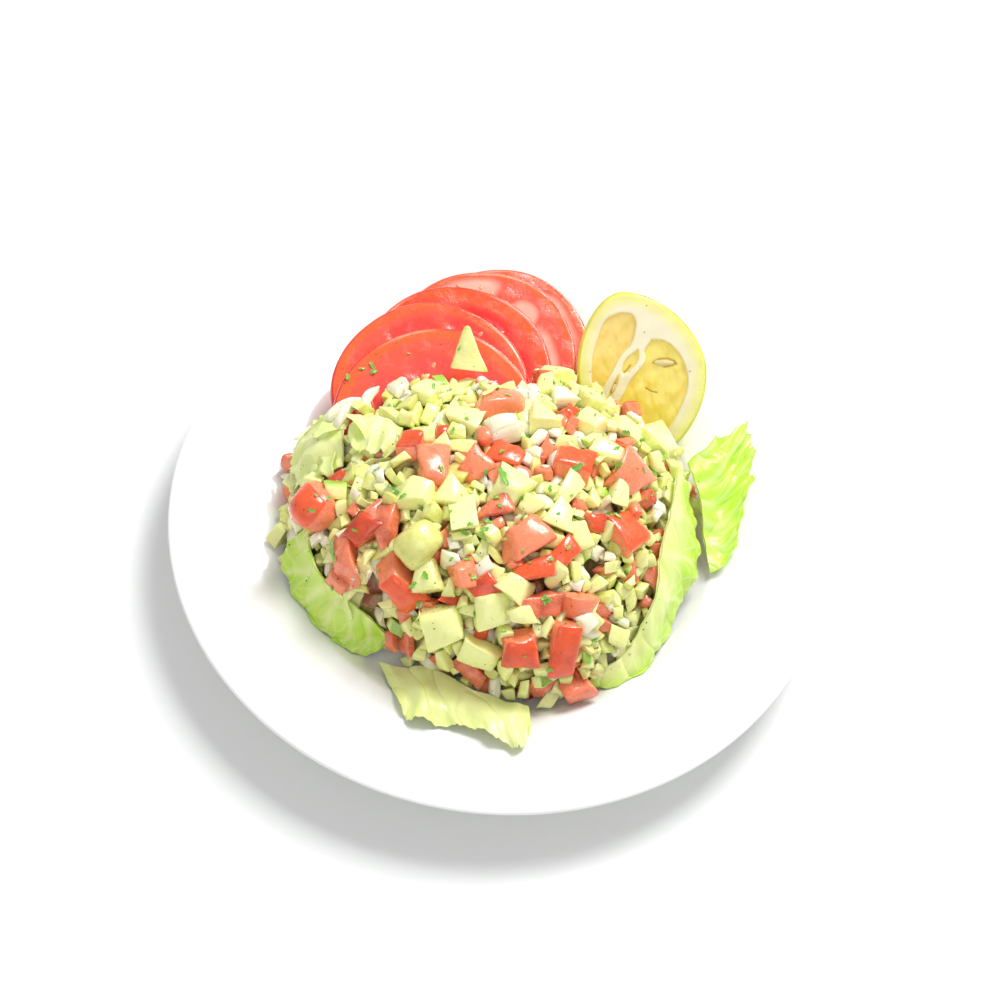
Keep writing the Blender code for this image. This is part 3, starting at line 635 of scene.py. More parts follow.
    def make_lettuce(self) -> bpy.types.Material:
        """Lettuce: pale ribs and veins, blistered green blade and a bright frilled edge.

        Returns:
            The material.
        """
        f = Finish("lettuce_leaf", self.effects,
                   Gloss(coat=0.25, subsurface=0.3, radius=(0.002, 0.004, 0.001), bump_depth=0.0008))
        w = f.wiring
        place, green, rib = w.painted("place", True), w.painted("green"), w.painted("rib")
        blade = f.mottle(place, 0.09, (0.28, 0.66, 0.012), (0.52, 0.88, 0.05), w.painted("tone"))
        pale = f.mottle(place, 0.08, (0.80, 0.94, 0.24), (0.97, 1.0, 0.46), w.painted("tone"))
        blisters = f.group(self.effects.cells, Place=place, Scale=0.13)
        fine = f.group(self.effects.cells, Place=place, Scale=0.45)
        colour = w.mix(green, pale, blade)
        colour = w.mix(w.math("MULTIPLY", blisters.outputs["Edge"], 0.22), colour, (0.66, 0.90, 0.20))
        colour = w.mix(w.math("MULTIPLY", rib, 0.6), colour, (0.84, 0.95, 0.40))
        relief = w.math("ADD", blisters.outputs["Height"], w.math("MULTIPLY", fine.outputs["Height"], 0.3))
        return f.finish(colour, relief, w.math("ADD", w.math("MULTIPLY", rib, -0.1), 0.42))

    def make_parsley(self) -> bpy.types.Material:
        """Chopped parsley and herb stems.

        Returns:
            The material.
        """
        f = Finish("parsley", self.effects,
                   Gloss(coat=0.3, subsurface=0.15, radius=(0.001, 0.002, 0.0005), bump_depth=0.0003))
        w = f.wiring
        place = w.painted("place", True)
        colour = f.mottle(place, 0.5, (0.05, 0.22, 0.02), (0.20, 0.50, 0.06), w.painted("tone"))
        return f.wet(colour, place, 1.2, 0.35)

    def make_pepper(self) -> bpy.types.Material:
        """Cracked black pepper.

        Returns:
            The material.
        """
        f = Finish("black_pepper", self.effects, Gloss(bump=0.5, bump_depth=0.0002))
        w = f.wiring
        place = w.painted("place", True)
        colour = f.mottle(place, 1.5, (0.016, 0.012, 0.008), (0.11, 0.08, 0.05), w.painted("tone"))
        return f.wet(colour, place, 2.0, 0.5)

    def make_mince_and_shade(self) -> bpy.types.Material:
        """The wet, minced inside of the heap that shows between the pieces, dark olive and red, partly as
        painted shade in the gaps.

        Returns:
            The material.
        """
        f = Finish("dressed_mince_and_shade", self.effects, Gloss(coat=0.6, subsurface=0.2, bump=0.8, bump_depth=0.001))
        w = f.wiring
        place = w.painted("place", True)
        olive = f.mottle(place, 0.18, (0.09, 0.055, 0.012), (0.30, 0.22, 0.05))
        red = f.mottle(place, 0.3, (0.14, 0.02, 0.008), (0.36, 0.07, 0.03))
        colour = w.mix(w.ease(w.noise(place, 0.09, 3.0), 0.5, 0.62), olive, red)
        return f.wet(colour, place, 0.5, 0.25)


@dataclass
class Plate:
    """The rimmed plate, turned about its axis."""

    radius: float = 135.0
    height: float = 25.0
    well_radius: float = 80.0
    well_z: float = 6.0
    rim_start: tuple[float, float] = (89.0, 12.0)
    thickness: float = 3.2
    foot_radius: float = 62.0
    foot_width: float = 6.0
    recess_z: float = 2.4
    segments: int = 176
    steps: int = 9
    spokes: int = 14
    hub: float = 2.0

    def rounded(self, points: list[tuple[float, float]], radii: tuple[float, ...]) -> np.ndarray:
        """Round the corners of an open outline.

        Args:
            points: Outline of (radius, z) points.
            radii: Radius at each inner corner.

        Returns:
            The rounded outline.
        """
        outline = [np.array(points[0])]
        for before, corner, after, radius in zip(points, points[1:], points[2:], radii):
            corner = np.array(corner)
            back, ahead = np.array(before) - corner, np.array(after) - corner
            back, ahead = back / np.linalg.norm(back), ahead / np.linalg.norm(ahead)
            half_angle = 0.5 * math.acos(float(np.clip(back @ ahead, -1.0, 1.0)))
            reach = radius / math.tan(half_angle)
            for t in np.linspace(0.0, 1.0, self.steps):
                outline.append((1 - t) ** 2 * (corner + back * reach) + 2 * t * (1 - t) * corner
                               + t * t * (corner + ahead * reach))
        outline.append(np.array(points[-1]))
        return np.array(outline)

    @cached_property
    def top(self) -> np.ndarray:
        """Return the outline of the upper side, centre first.

        Returns:
            Rows of radius and height.
        """
        points = [(0.0, self.well_z), (self.well_radius, self.well_z), self.rim_start,
                  (self.radius - 2.0, self.height - 0.3)]
        return self.rounded(points, (14.0, 9.0))

    def z(self, radius: np.ndarray) -> np.ndarray:
        """Return the height of the upper side at distances from the axis."""
        return np.interp(radius, self.top[:, 0], self.top[:, 1])

    def under(self) -> np.ndarray:
        """Return the outline from the lip down to the middle of the underside.

        Returns:
            Rows of radius and height.
        """
        outer, inner = self.foot_radius + 0.5 * self.foot_width, self.foot_radius - 0.5 * self.foot_width
        points = [(self.radius - 2.0, self.height - self.thickness),
                  (self.rim_start[0] + 1.5, self.rim_start[1] - self.thickness),
                  (self.well_radius + 2.0, self.recess_z + 0.4), (outer + 2.0, self.recess_z), (outer, 0.0),
                  (inner, 0.0), (inner - 2.0, self.recess_z), (0.0, self.recess_z)]
        return self.rounded(points, (9.0, 10.0, 1.0, 0.7, 0.7, 0.8))

    def lip(self) -> np.ndarray:
        """Return the rounded edge between the upper side and the underside.

        Returns:
            Rows of radius and height.
        """
        points = np.array([(self.radius - 2.0, self.height - 0.3), (self.radius - 0.9, self.height),
                           (self.radius, self.height - 0.9), (self.radius - 0.6, self.height - 2.3),
                           (self.radius - 2.0, self.height - self.thickness)])
        return spline(points, np.linspace(0.0, 1.0, 14))[1:-1]

    def build(self, larder: Larder) -> bpy.types.Object:
        """Turn the outline and dress the plate.

        Args:
            larder: The finishes.

        Returns:
            The piece.
        """
        top = self.top
        spread = np.linspace(self.hub, self.well_radius - 15.0, self.spokes)
        inside = np.stack([spread, np.full(self.spokes, self.well_z)], -1)
        profile = np.vstack([inside, top[1:], self.lip(), self.under()[:-1], [[self.hub, self.recess_z]]])
        angles = np.linspace(0.0, TAU, self.segments, endpoint=False)
        ring = np.stack([np.cos(angles), np.sin(angles)], -1)
        grid = np.empty((len(profile), self.segments, 3))
        grid[:, :, :2] = profile[:, None, :1] * ring
        grid[:, :, 2] = profile[:, 1:]
        points = grid.reshape(-1, 3)
        foot = smoothstep(0.35, 0.1, points[:, 2])
        shape = Shape()
        shape.add(points, grid_faces(len(profile), self.segments, True), place=points, foot=foot)
        for row, z in ((grid[0], self.well_z), (grid[-1], self.recess_z)):
            hub = np.array([[0.0, 0.0, z]])
            shape.fan(hub, row, place=np.vstack([row, hub]), foot=np.zeros(self.segments + 1))
        return shape.build("plate_glazed", larder.glaze, "porcelain", ("plate",), merge=0.01)


@dataclass
class Mound:
    """The form of the heap: its outline in plan and its rise."""

    centre: tuple[float, float] = (-9.0, -14.0)
    top_z: float = 60.0
    base_z: float = 6.0
    radii: tuple[float, ...] = (81.0, 96.0, 92.0, 82.0, 86.0, 87.0, 78.0, 70.0, 56.0, 60.0, 73.0, 76.0)
    fullness_front: float = 2.3
    fullness_back: float = 3.3
    roundness: float = 1.9
    clearance: float = 2.85
    furthest: float = 0.995
    front_shade: float = 0.24
    plate: Plate = field(default_factory=Plate)

    def radius(self, angle: np.ndarray) -> np.ndarray:
        """Return the outline radius in each direction, in radians.

        Args:
            angle: Direction in radians.

        Returns:
            One radius a direction.
        """
        radii = np.array(self.radii)
        place = (angle / TAU) % 1.0 * len(radii)
        index = place.astype(int) % len(radii)
        f = place - place.astype(int)
        ease = f * f * (3.0 - 2.0 * f)
        return radii[index] * (1.0 - ease) + radii[(index + 1) % len(radii)] * ease

    def point(self, angle: np.ndarray, share: np.ndarray) -> np.ndarray:
        """Return the bare surface at a share of the way from the middle out.

        Args:
            angle: Direction in radians.
            share: Share of the way from the middle out.

        Returns:
            The points.
        """
        radius = share * self.radius(angle)
        x = self.centre[0] + radius * np.cos(angle)
        y = self.centre[1] + radius * np.sin(angle)
        back = 0.5 + 0.5 * np.sin(angle)
        fullness = self.fullness_front + (self.fullness_back - self.fullness_front) * back
        rise = (1.0 - np.minimum(share, 1.0) ** fullness) ** (1.0 / self.roundness)
        z = self.base_z + (self.top_z - self.base_z) * rise
        return np.stack([x, y, np.maximum(z, self.plate.z(np.hypot(x, y)) + self.clearance)], -1)

    def normal(self, angle: float, share: float) -> np.ndarray:
        """Return the outward direction at one place.

        Args:
            angle: Direction in radians.
            share: Share of the way from the middle out.

        Returns:
            A unit vector.
        """
        step = 0.02
        places = np.array([(angle, min(share + step, 1.0)), (angle, max(share - step, 0.0)),
                           (angle + step, max(share, step)), (angle - step, max(share, step))])
        a, b, c, d = self.point(places[:, 0], places[:, 1])
        normal = np.cross(a - b, c - d)
        return normal / np.linalg.norm(normal)

    def spot(self, angle: float, share: float) -> np.ndarray:
        """Return one point of the bare surface."""
        return self.point(np.array([angle]), np.array([share]))[0]

    def place_of(self, x: float, y: float) -> tuple[float, float]:
        """Return the direction and the share of the way out of a point in plan.

        Args:
            x: Place along X.
            y: Place along Y.

        Returns:
            The direction in radians and the share.
        """
        dx, dy = x - self.centre[0], y - self.centre[1]
        angle = math.atan2(dy, dx)
        share = math.hypot(dx, dy) / float(self.radius(np.array([angle]))[0])
        return angle, min(share, self.furthest)

    def depth(self, points: np.ndarray) -> np.ndarray:
        """Return how far points lie under the bare surface, from 0 near it to 1 well below, plus a share on the
        heap's low front; the finishes darken by it, partly as dressing and partly as painted shade.

        Args:
            points: Points, one a row.

        Returns:
            One depth a point.
        """
        dx, dy = points[:, 0] - self.centre[0], points[:, 1] - self.centre[1]
        angle = np.arctan2(dy, dx)
        share = np.hypot(dx, dy) / self.radius(angle)
        under = self.point(angle, np.minimum(share, 1.0))[:, 2] - points[:, 2]
        deep = smoothstep(0.2, 5.5, under * (0.45 + 0.55 * (1.0 - np.minimum(share, 1.0) ** 2)))
        # Painted shade on the low front slope of the heap, which lies away from the key light
        front = smoothstep(46.0, 18.0, points[:, 2]) * smoothstep(10.0, -30.0, points[:, 1])
        return np.maximum(deep, 0.0) + self.front_shade * front * (1.0 - deep)


class Kind(Enum):
    """What a chopped piece was cut from."""

    TOMATO = "tomato"
    CUCUMBER = "cucumber"
    ONION = "onion"


@dataclass(frozen=True)
class Cut:
    """One chopped piece: where it lies in plan, its size, how it is turned and how round it is."""

    kind: Kind
    x: float
    y: float
    size: tuple[float, float, float]
    turn: float = 0.0
    tilt: float = 0.0
    tone: float = 0.5
    lift: float = 0.0
    rounding: float = 0.0


@dataclass(frozen=True)
class Knife:
    """How pieces of one kind are cut: their rounding, unevenness, bow and range of proportions."""

    rounding: float
    unevenness: float
    bow: float
    taper: float
    wobble: float
    least: tuple[float, float, float]
    most: tuple[float, float, float]
    peeled: float


KNIVES = {
    Kind.TOMATO: Knife(0.28, 0.17, 0.08, 0.28, 0.45, (1.1, 0.85, 0.6), (1.9, 1.3, 1.0), 0.6),
    Kind.CUCUMBER: Knife(0.25, 0.18, 0.06, 0.35, 0.25, (0.9, 0.60, 0.42), (1.7, 1.1, 0.9), 0.82),
    Kind.ONION: Knife(0.40, 0.18, 0.22, 0.25, 0.2, (0.9, 0.65, 0.26), (2.0, 1.1, 0.45), 0.5),
}

T, C, O = Kind.TOMATO, Kind.CUCUMBER, Kind.ONION

# The pieces that stand out: kind, place, size, turn, tilt, tone, lift and rounding
NOTABLE = (
    Cut(T, -23, 44, (15, 13, 9), 10, 0, 0.35), Cut(T, -48, 16, (17, 15, 12), 65, 5, 0.3),
    Cut(T, -6, 27, (21, 12, 9), 10, 8, 0.95), Cut(O, -4, 12, (12, 10, 8), 20, -8, 0.95, 1.5),
    Cut(T, -28, -7, (20, 12, 9), 0, 5, 0.5), Cut(T, 0, 1, (12, 10, 8), 15, 0, 0.6),
    Cut(C, 3, -13, (13, 12, 9), 5, 6, 0.8, 1.0), Cut(C, 24, -11, (15, 7, 6), -5, 5, 0.75, 1.0),
    Cut(T, 25, 2, (17, 13, 8), 80, 0, 0.9), Cut(T, 47, 6, (18, 13, 9), -25, 0, 0.45),
    Cut(T, 61, -1, (16, 14, 8), 30, 0, 0.5), Cut(T, 48, -18, (15, 11, 8), 60, 0, 0.8),
    Cut(T, 56, -32, (17, 13, 8), 80, 0, 0.55), Cut(T, 55, -42, (13, 10, 8), 80, 0, 0.4),
    Cut(T, -70, -22, (19, 18, 15), 20, 0, 0.45, 2.5, 0.95), Cut(T, -10, 8, (8, 8, 8), 0, 0, 0.9, 1.5, 0.95),
    Cut(T, -51, -33, (18, 10, 9), 85, 0, 0.0),
    Cut(T, -43, -32, (14, 11, 8), -30, 0, 0.05), Cut(C, -30, -39, (18, 15, 13), 55, 0, 0.0, 2.5, 0.8),
    Cut(T, -36, -50, (21, 12, 11), -35, 0, 0.75), Cut(T, -57, -42, (17, 10, 8), -30, 0, 0.3),
    Cut(T, 11, -34, (19, 11, 8), 5, 0, 0.6, 1.0), Cut(T, 15, -45, (17, 9, 8), -5, 0, 0.55),
    Cut(T, -11, -49, (12, 11, 9), 30, 0, 0.7), Cut(T, -2, -53, (10, 9, 8), 60, 0, 0.05),
    Cut(C, -16, -63, (15, 15, 11), 40, 0, 0.55), Cut(C, 2, -60, (14, 13, 9), 30, 0, 0.9),
    Cut(C, -1, -69, (15, 9, 8), -10, 0, 0.8), Cut(C, -5, -73, (12, 11, 9), 15, 0, 0.6),
    Cut(T, 14, -69, (14, 12, 9), 10, 0, 0.35), Cut(T, 29, -65, (18, 10, 8), 75, 0, 0.4),
    Cut(T, 38, -71, (11, 9, 8), 20, 0, 0.6), Cut(T, 8, -79, (15, 10, 7), -10, 0, 0.45),
    Cut(C, 58, 33, (15, 14, 9), 10, 0, 0.9), Cut(C, 16, 55, (15, 10, 8), 35, 0, 0.95, 1.0),
    Cut(T, 57, -49, (11, 9, 7), 40, 0, 0.1), Cut(C, -64, 31, (11, 10, 8), 25, 0, 0.85),
    Cut(O, -47, 35, (8, 7, 5), 10, 0, 0.9), Cut(C, -36, 30, (10, 9, 8), 40, 0, 0.9),
    Cut(T, -80, 8, (14, 5, 4), -20, 0, 0.2, 2.0), Cut(O, -66, 24, (16, 3.2, 2.6), -12, 0, 0.9, 1.0),
    Cut(O, -65, 18, (14, 3, 2.6), 4, 0, 0.8, 1.0), Cut(O, -58, 29, (13, 3.2, 2.6), 20, 0, 0.95, 1.0),
    Cut(O, -40, -2, (12, 7, 5), 40, 0, 0.9, 1.0), Cut(T, -52, 4, (13, 11, 8), 70, 0, 0.7, 0.0),
    Cut(T, -38, 2, (12, 9, 7), 20, 0, 0.45, 0.0), Cut(T, 5, -8, (9, 8, 6), 0, 0, 0.2, -1.0),
    Cut(T, -2, -23, (16, 7, 6), 5, 0, 0.1, -0.5), Cut(T, 36, -20, (9, 7, 6), 40, 0, 0.1, -1.0),
    Cut(T, 18, -56, (14, 7, 6), -10, 0, 0.05, -1.5), Cut(O, 36, -55, (8, 7, 6), 10, 0, 0.6, 0.0),
    Cut(C, -33, -22, (14, 9, 8), 40, 0, 0.95, 1.0), Cut(C, -14, -30, (12, 9, 7), -50, 0, 0.9, 0.5),
    Cut(C, -24, -48, (13, 9, 8), -50, 0, 0.5, 1.0), Cut(C, 30, -28, (12, 7, 6), 60, 0, 0.7, 0.5),
    Cut(C, 22, -22, (12, 9, 7), 20, 0, 0.6, 0.5), Cut(C, 44, -4, (9, 8, 7), 20, 0, 0.95, 1.0),
    Cut(C, 12, -60, (12, 6, 6), 10, 0, 0.8, 1.0), Cut(C, 8, -52, (13, 9, 7), -25, 0, 0.85, 1.0),
    Cut(T, 33, -52, (13, 9, 7), -15, 0, 0.8),
    Cut(T, 25, -37, (14, 8, 7), 10, 0, 0.65), Cut(T, -12, -5, (12, 9, 7), 30, 0, 0.5),
    Cut(C, -20, -20, (12, 10, 8), 20, 0, 0.8), Cut(C, 12, 22, (12, 10, 8), 35, 0, 0.95),
    Cut(C, 30, 25, (12, 10, 8), 10, 0, 0.95), Cut(C, 38, 12, (11, 9, 8), 60, 0, 0.9),
    Cut(O, 18, 38, (9, 8, 6), 60, 0, 0.95), Cut(C, -20, 18, (12, 9, 8), -20, 0, 0.85),
    Cut(C, 45, 30, (11, 10, 8), 30, 0, 0.9), Cut(C, 30, 42, (12, 9, 8), -30, 0, 0.9),
)


def cube_net(stations: tuple[float, ...]) -> tuple[np.ndarray, np.ndarray]:
    """Make the surface grid of a cube from -1 to 1.

    Args:
        stations: Places of the grid lines on each axis, from -1 to 1.

    Returns:
        The points and the quads.
    """
    index: dict[tuple[int, int, int], int] = {}
    quads = []
    last = len(stations) - 1

    def corner(axis: int, side: int, u: int, v: int) -> int:
        """Return the index of one grid point, making it where it is new."""
        key = [0, 0, 0]
        key[axis], key[(axis + 1) % 3], key[(axis + 2) % 3] = side, u, v
        return index.setdefault(tuple(key), len(index))

    for axis in range(3):
        for side in (0, last):
            for u in range(last):
                for v in range(last):
                    quad = [corner(axis, side, u, v), corner(axis, side, u + 1, v),
                            corner(axis, side, u + 1, v + 1), corner(axis, side, u, v + 1)]
                    quads.append(quad if side else quad[::-1])
    places = np.array(sorted(index, key=index.get))
    return np.array(stations)[places], np.array(quads)


def ball_net(stations: tuple[float, ...]) -> tuple[np.ndarray, np.ndarray]:
    """Return the points and quads of a ball of radius 1, gridded as cube_net does."""
    net, quads = cube_net(stations)
    return net / np.linalg.norm(net, axis=1, keepdims=True), quads


FINE_NET = cube_net((-1.0, -0.93, -0.72, -0.36, 0.0, 0.36, 0.72, 0.93, 1.0))
SMALL_NET = cube_net((-1.0, -0.88, -0.45, 0.45, 0.88, 1.0))
LARGE_PIECE = 11.0


def cut_piece(cut: Cut, rng: np.random.Generator) -> tuple[np.ndarray, ...]:
    """Cut one chopped piece about its own middle, skin side up.

    Args:
        cut: The piece.
        rng: Source of its unevenness.

    Returns:
        Points, quads, skin values and places for its texture.
    """
    knife, size = KNIVES[cut.kind], np.array(cut.size, float)
    net, quads = FINE_NET if max(size) > LARGE_PIECE else SMALL_NET
    half = 0.5 * size
    rounding = (cut.rounding or knife.rounding) * half.min()
    box = net * half
    inner = np.clip(box, -(half - rounding), half - rounding)
    away = box - inner
    points = inner + rounding * away / np.maximum(np.linalg.norm(away, axis=1, keepdims=True), TINY)
    corners = np.array([(x, y, z) for x in (-1, 1) for y in (-1, 1) for z in (-1, 1)])
    weights = np.prod(0.5 * (1.0 + net[:, None, :] * corners[None]), axis=2)
    uneven = 2.0 * knife.unevenness * (1.0 - cut.rounding)
    points = points + weights @ (rng.uniform(-1.0, 1.0, (8, 3)) * half * uneven)
    points[:, 0] *= 1.0 + rng.uniform(-1.0, 1.0) * knife.taper * net[:, 2] * (1.0 - cut.rounding)
    points[:, 1] *= 1.0 + rng.uniform(-1.0, 1.0) * knife.taper * net[:, 0] * (1.0 - cut.rounding)
    bow = knife.bow * size[0] * (1.0 - net[:, 0] ** 2) * (1.0 - 0.5 * net[:, 1] ** 2)
    points[:, 2] += bow * np.where(net[:, 2] > 0.0, 1.0, 0.55)
    out = points / np.maximum(np.linalg.norm(points, axis=1, keepdims=True), TINY)
    wobble = ripple(points, 0.6 * size.max(), rng) + 0.45 * ripple(points, 0.25 * size.max(), rng)
    points = points + out * (wobble * knife.wobble)[:, None]
    skin = smoothstep(0.55, 1.0, net[:, 2] if cut.kind is Kind.TOMATO else net[:, 0])
    return points, quads, skin, points + rng.uniform(0.0, 400.0, 3)


@dataclass
class Heap:
    """The heap: a wet core and the chopped pieces over it, one joined mesh for each kind."""

    mound: Mound = field(default_factory=Mound)
    sink: float = 0.36
    spacing: float = 0.86
    notable_spacing: float = 0.95
    floor: float = 1.0
    core_depth: float = 6.5
    layers: tuple[tuple[float, int, float, float], ...] = (
        (-5.0, 430, 5.5, 9.5), (-0.9, 640, 4.8, 10.5), (1.8, 120, 4.2, 8.0))
    shares: tuple[float, ...] = (0.20, 0.64, 0.16)
    hollows: tuple[tuple[float, float, float], ...] = (
        (41.0, -26.0, 4.5), (38.0, -37.0, 5.0), (21.0, -50.0, 5.0), (-47.0, -54.0, 5.0), (-21.0, -56.0, 4.5),
        (4.0, -42.0, 4.5))
    lifts: tuple[float, ...] = (0.8, 1.8, 3.0)
    tries: int = 30
    seed: int = 5

    def obstacles(self) -> list[BVHTree]:
        """Return search trees, in millimetres, over every CAD node but the heap.

        Returns:
            One tree a node.
        """
        trees = []
        for name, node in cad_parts.items():
            if name != "salad_heap":
                points = [vertex.co / MM for vertex in node.data.vertices]
                trees.append(BVHTree.FromPolygons(points, [list(p.vertices) for p in node.data.polygons]))
        return trees

    def core(self, larder: Larder) -> bpy.types.Object:
        """Make the wet inside of the heap, a little under the form; its dark finish is partly painted shade
        between the pieces.

        Args:
            larder: The finishes.

        Returns:
            The piece.
        """
        rings, segments = 44, 132
        rng = np.random.default_rng(self.seed)
        shares = np.sin(0.5 * math.pi * np.arange(1, rings + 1) / rings) * 0.94
        angles = np.linspace(0.0, TAU, segments, endpoint=False)
        grid = self.mound.point(*np.broadcast_arrays(angles[None, :], shares[:, None]))
        points = grid.reshape(-1, 3)
        down = self.core_depth * (1.0 + 0.35 * ripple(points, 9.0, rng, 9))
        floor = self.mound.plate.z(np.hypot(points[:, 0], points[:, 1])) + 0.6
        points = np.column_stack([points[:, :2], np.maximum(points[:, 2] - down, floor)])
        rim = points[-segments:].copy()
        under = np.column_stack([rim[:, :2] * 0.97 + np.array(self.mound.centre) * 0.03,
                                 self.mound.plate.z(np.hypot(rim[:, 0], rim[:, 1]) * 0.96) + 0.3])
        shape = Shape()
        all_points = np.vstack([points, under])
        shape.add(all_points, grid_faces(rings + 1, segments, True)[:, ::-1], place=all_points)
        for row, z in ((points[:segments], self.mound.top_z - self.core_depth), (under, 7.0)):
            hub = np.array([[*self.mound.centre, z]])
            shape.fan(hub, row, place=np.vstack([row, hub]))
        return shape.build("heap_core", larder.juice, "chopped_salad", ("salad_heap",), merge=0.01)

    def spot(self, cut: Cut, deep: float) -> tuple[np.ndarray, np.ndarray]:
        """Return where a piece's middle lies at a depth, and the mound's normal there.

        Args:
            cut: The piece.
            deep: Offset from the mound's surface, outward.

        Returns:
            The middle and the normal.
        """
        angle, share = self.mound.place_of(cut.x, cut.y)
        normal = self.mound.normal(angle, share)
        height = cut.size[2] * (0.5 - self.sink) + deep + cut.lift
        return self.mound.spot(angle, share) + normal * height, normal

    def lay(self, cut: Cut, middle: np.ndarray, normal: np.ndarray, free: float,
            rng: np.random.Generator) -> tuple[np.ndarray, ...]:
        """Cut a piece and lay it on the mound.

        Args:
            cut: The piece.
            middle: Where its middle lies.
            normal: The mound's normal there.
            free: How far it may roll from lying flat, in radians.
            rng: Source of its unevenness.

        Returns:
            Points, quads, skin values, texture places and the middle.
        """
        points, quads, skin, place = cut_piece(cut, rng)
        upright = Vector(normal).to_track_quat("Z", "Y").to_matrix()
        roll = Matrix.Rotation(math.radians(cut.tilt) + rng.normal() * free, 3, "X")
        pitch = Matrix.Rotation(rng.normal() * free, 3, "Y")
        turned = np.array(upright @ Matrix.Rotation(math.radians(cut.turn), 3, "Z") @ pitch @ roll)
        points = points @ turned.T + middle
        lift = np.max(self.mound.plate.z(np.hypot(points[:, 0], points[:, 1])) - points[:, 2]) + self.floor
        up = np.array([0.0, 0.0, max(lift, 0.0)])
        return points + up, quads, skin, place, middle + up

    def build(self, larder: Larder) -> list[bpy.types.Object]:
        """Make the core and the chopped pieces.

        Args:
            larder: The finishes.

        Returns:
            The core and one piece for each kind.
        """
        rng = np.random.default_rng(self.seed)
        trees = self.obstacles()
        shapes = {kind: Shape() for kind in Kind}
        middles = np.empty((0, 3))
        reaches = np.empty(0)

        def keep(cut: Cut, deep: float, free: float, bare: bool, notable: bool = False) -> bool:
            """Lay a piece and keep it where there is room. A notable piece may touch its neighbours.

            Args:
                cut: The piece.
                deep: Offset from the mound's surface, outward.
                free: How far it may roll from lying flat, in radians.
                bare: True where it has no skin.
                notable: True for a piece that stands out.

            Returns:
                True where the piece was kept.
            """
            nonlocal middles, reaches
            middle, normal = self.spot(cut, deep)
            reach = (self.notable_spacing if notable else self.spacing) * sum(cut.size) / 6.0
            if not notable:
                if len(middles) and np.any(np.linalg.norm(middles - middle, axis=1) < reaches + reach):
                    return False
                if any(tree.find_nearest(Vector(middle), 0.75 * reach)[0] is not None for tree in trees):
                    return False
            points, quads, skin, place, middle = self.lay(cut, middle, normal, free, rng)
            box = BVHTree.FromPolygons(points.tolist(), quads.tolist())
            if any(box.overlap(tree) for tree in trees):
                return False
            middles = np.vstack([middles, middle])
            reaches = np.append(reaches, reach)
            count = len(points)
            # depth darkens the piece: partly the dressing, partly painted shade deep in the heap and on its low
            # front
            shapes[cut.kind].add(points, quads, skin=0.0 * skin if bare else skin, place=place,
                                 tone=np.full(count, cut.tone), depth=self.mound.depth(points))
            return True

        for cut in NOTABLE:
            bare = cut.kind is C or rng.random() < 0.5
            if not any(keep(cut, deep, 0.12, bare, True) for deep in self.lifts):
                LOG.info("left out %s at %.0f, %.0f", cut.kind.value, cut.x, cut.y)
        for deep, count, small, large in self.layers:
            made = 0
            for _ in range(count * self.tries):
                if made == count:
                    break
                kind = (T, C, O)[int(rng.choice(3, p=self.shares))]
                knife = KNIVES[kind]
                base = small + (large - small) * rng.random() ** 1.15
                size = base * rng.uniform(knife.least, knife.most)
                angle = rng.uniform(0.0, TAU)
                spot = self.mound.spot(angle, rng.random() ** 0.5 * self.mound.furthest)
                if any(math.hypot(spot[0] - x, spot[1] - y) < reach for x, y, reach in self.hollows):
                    continue
                cut = Cut(kind, spot[0], spot[1], tuple(size), rng.uniform(0.0, 360.0), 0.0, rng.random())
                made += keep(cut, deep, 0.6, rng.random() < knife.peeled)
            LOG.info("layer at %.1f mm: %d pieces", deep, made)
        names = {T: ("diced_tomatoes", larder.tomato), C: ("diced_cucumbers", larder.cucumber),
                 O: ("diced_onions", larder.onion)}
        pieces = [self.core(larder)]
        for kind, (name, material) in names.items():
            pieces.append(shapes[kind].build(name, material, "chopped_salad"))
        return pieces


@dataclass(frozen=True)
class Flesh:
    """What a slice's cut face shows: shade, ripeness, wall and seed chambers.

    Each chamber is its direction and half angle in degrees, and its inner and outer share of the radius.
    """

    tone: float
    ripe: float
    wall: float
    chambers: tuple[tuple[float, float, float, float], ...]


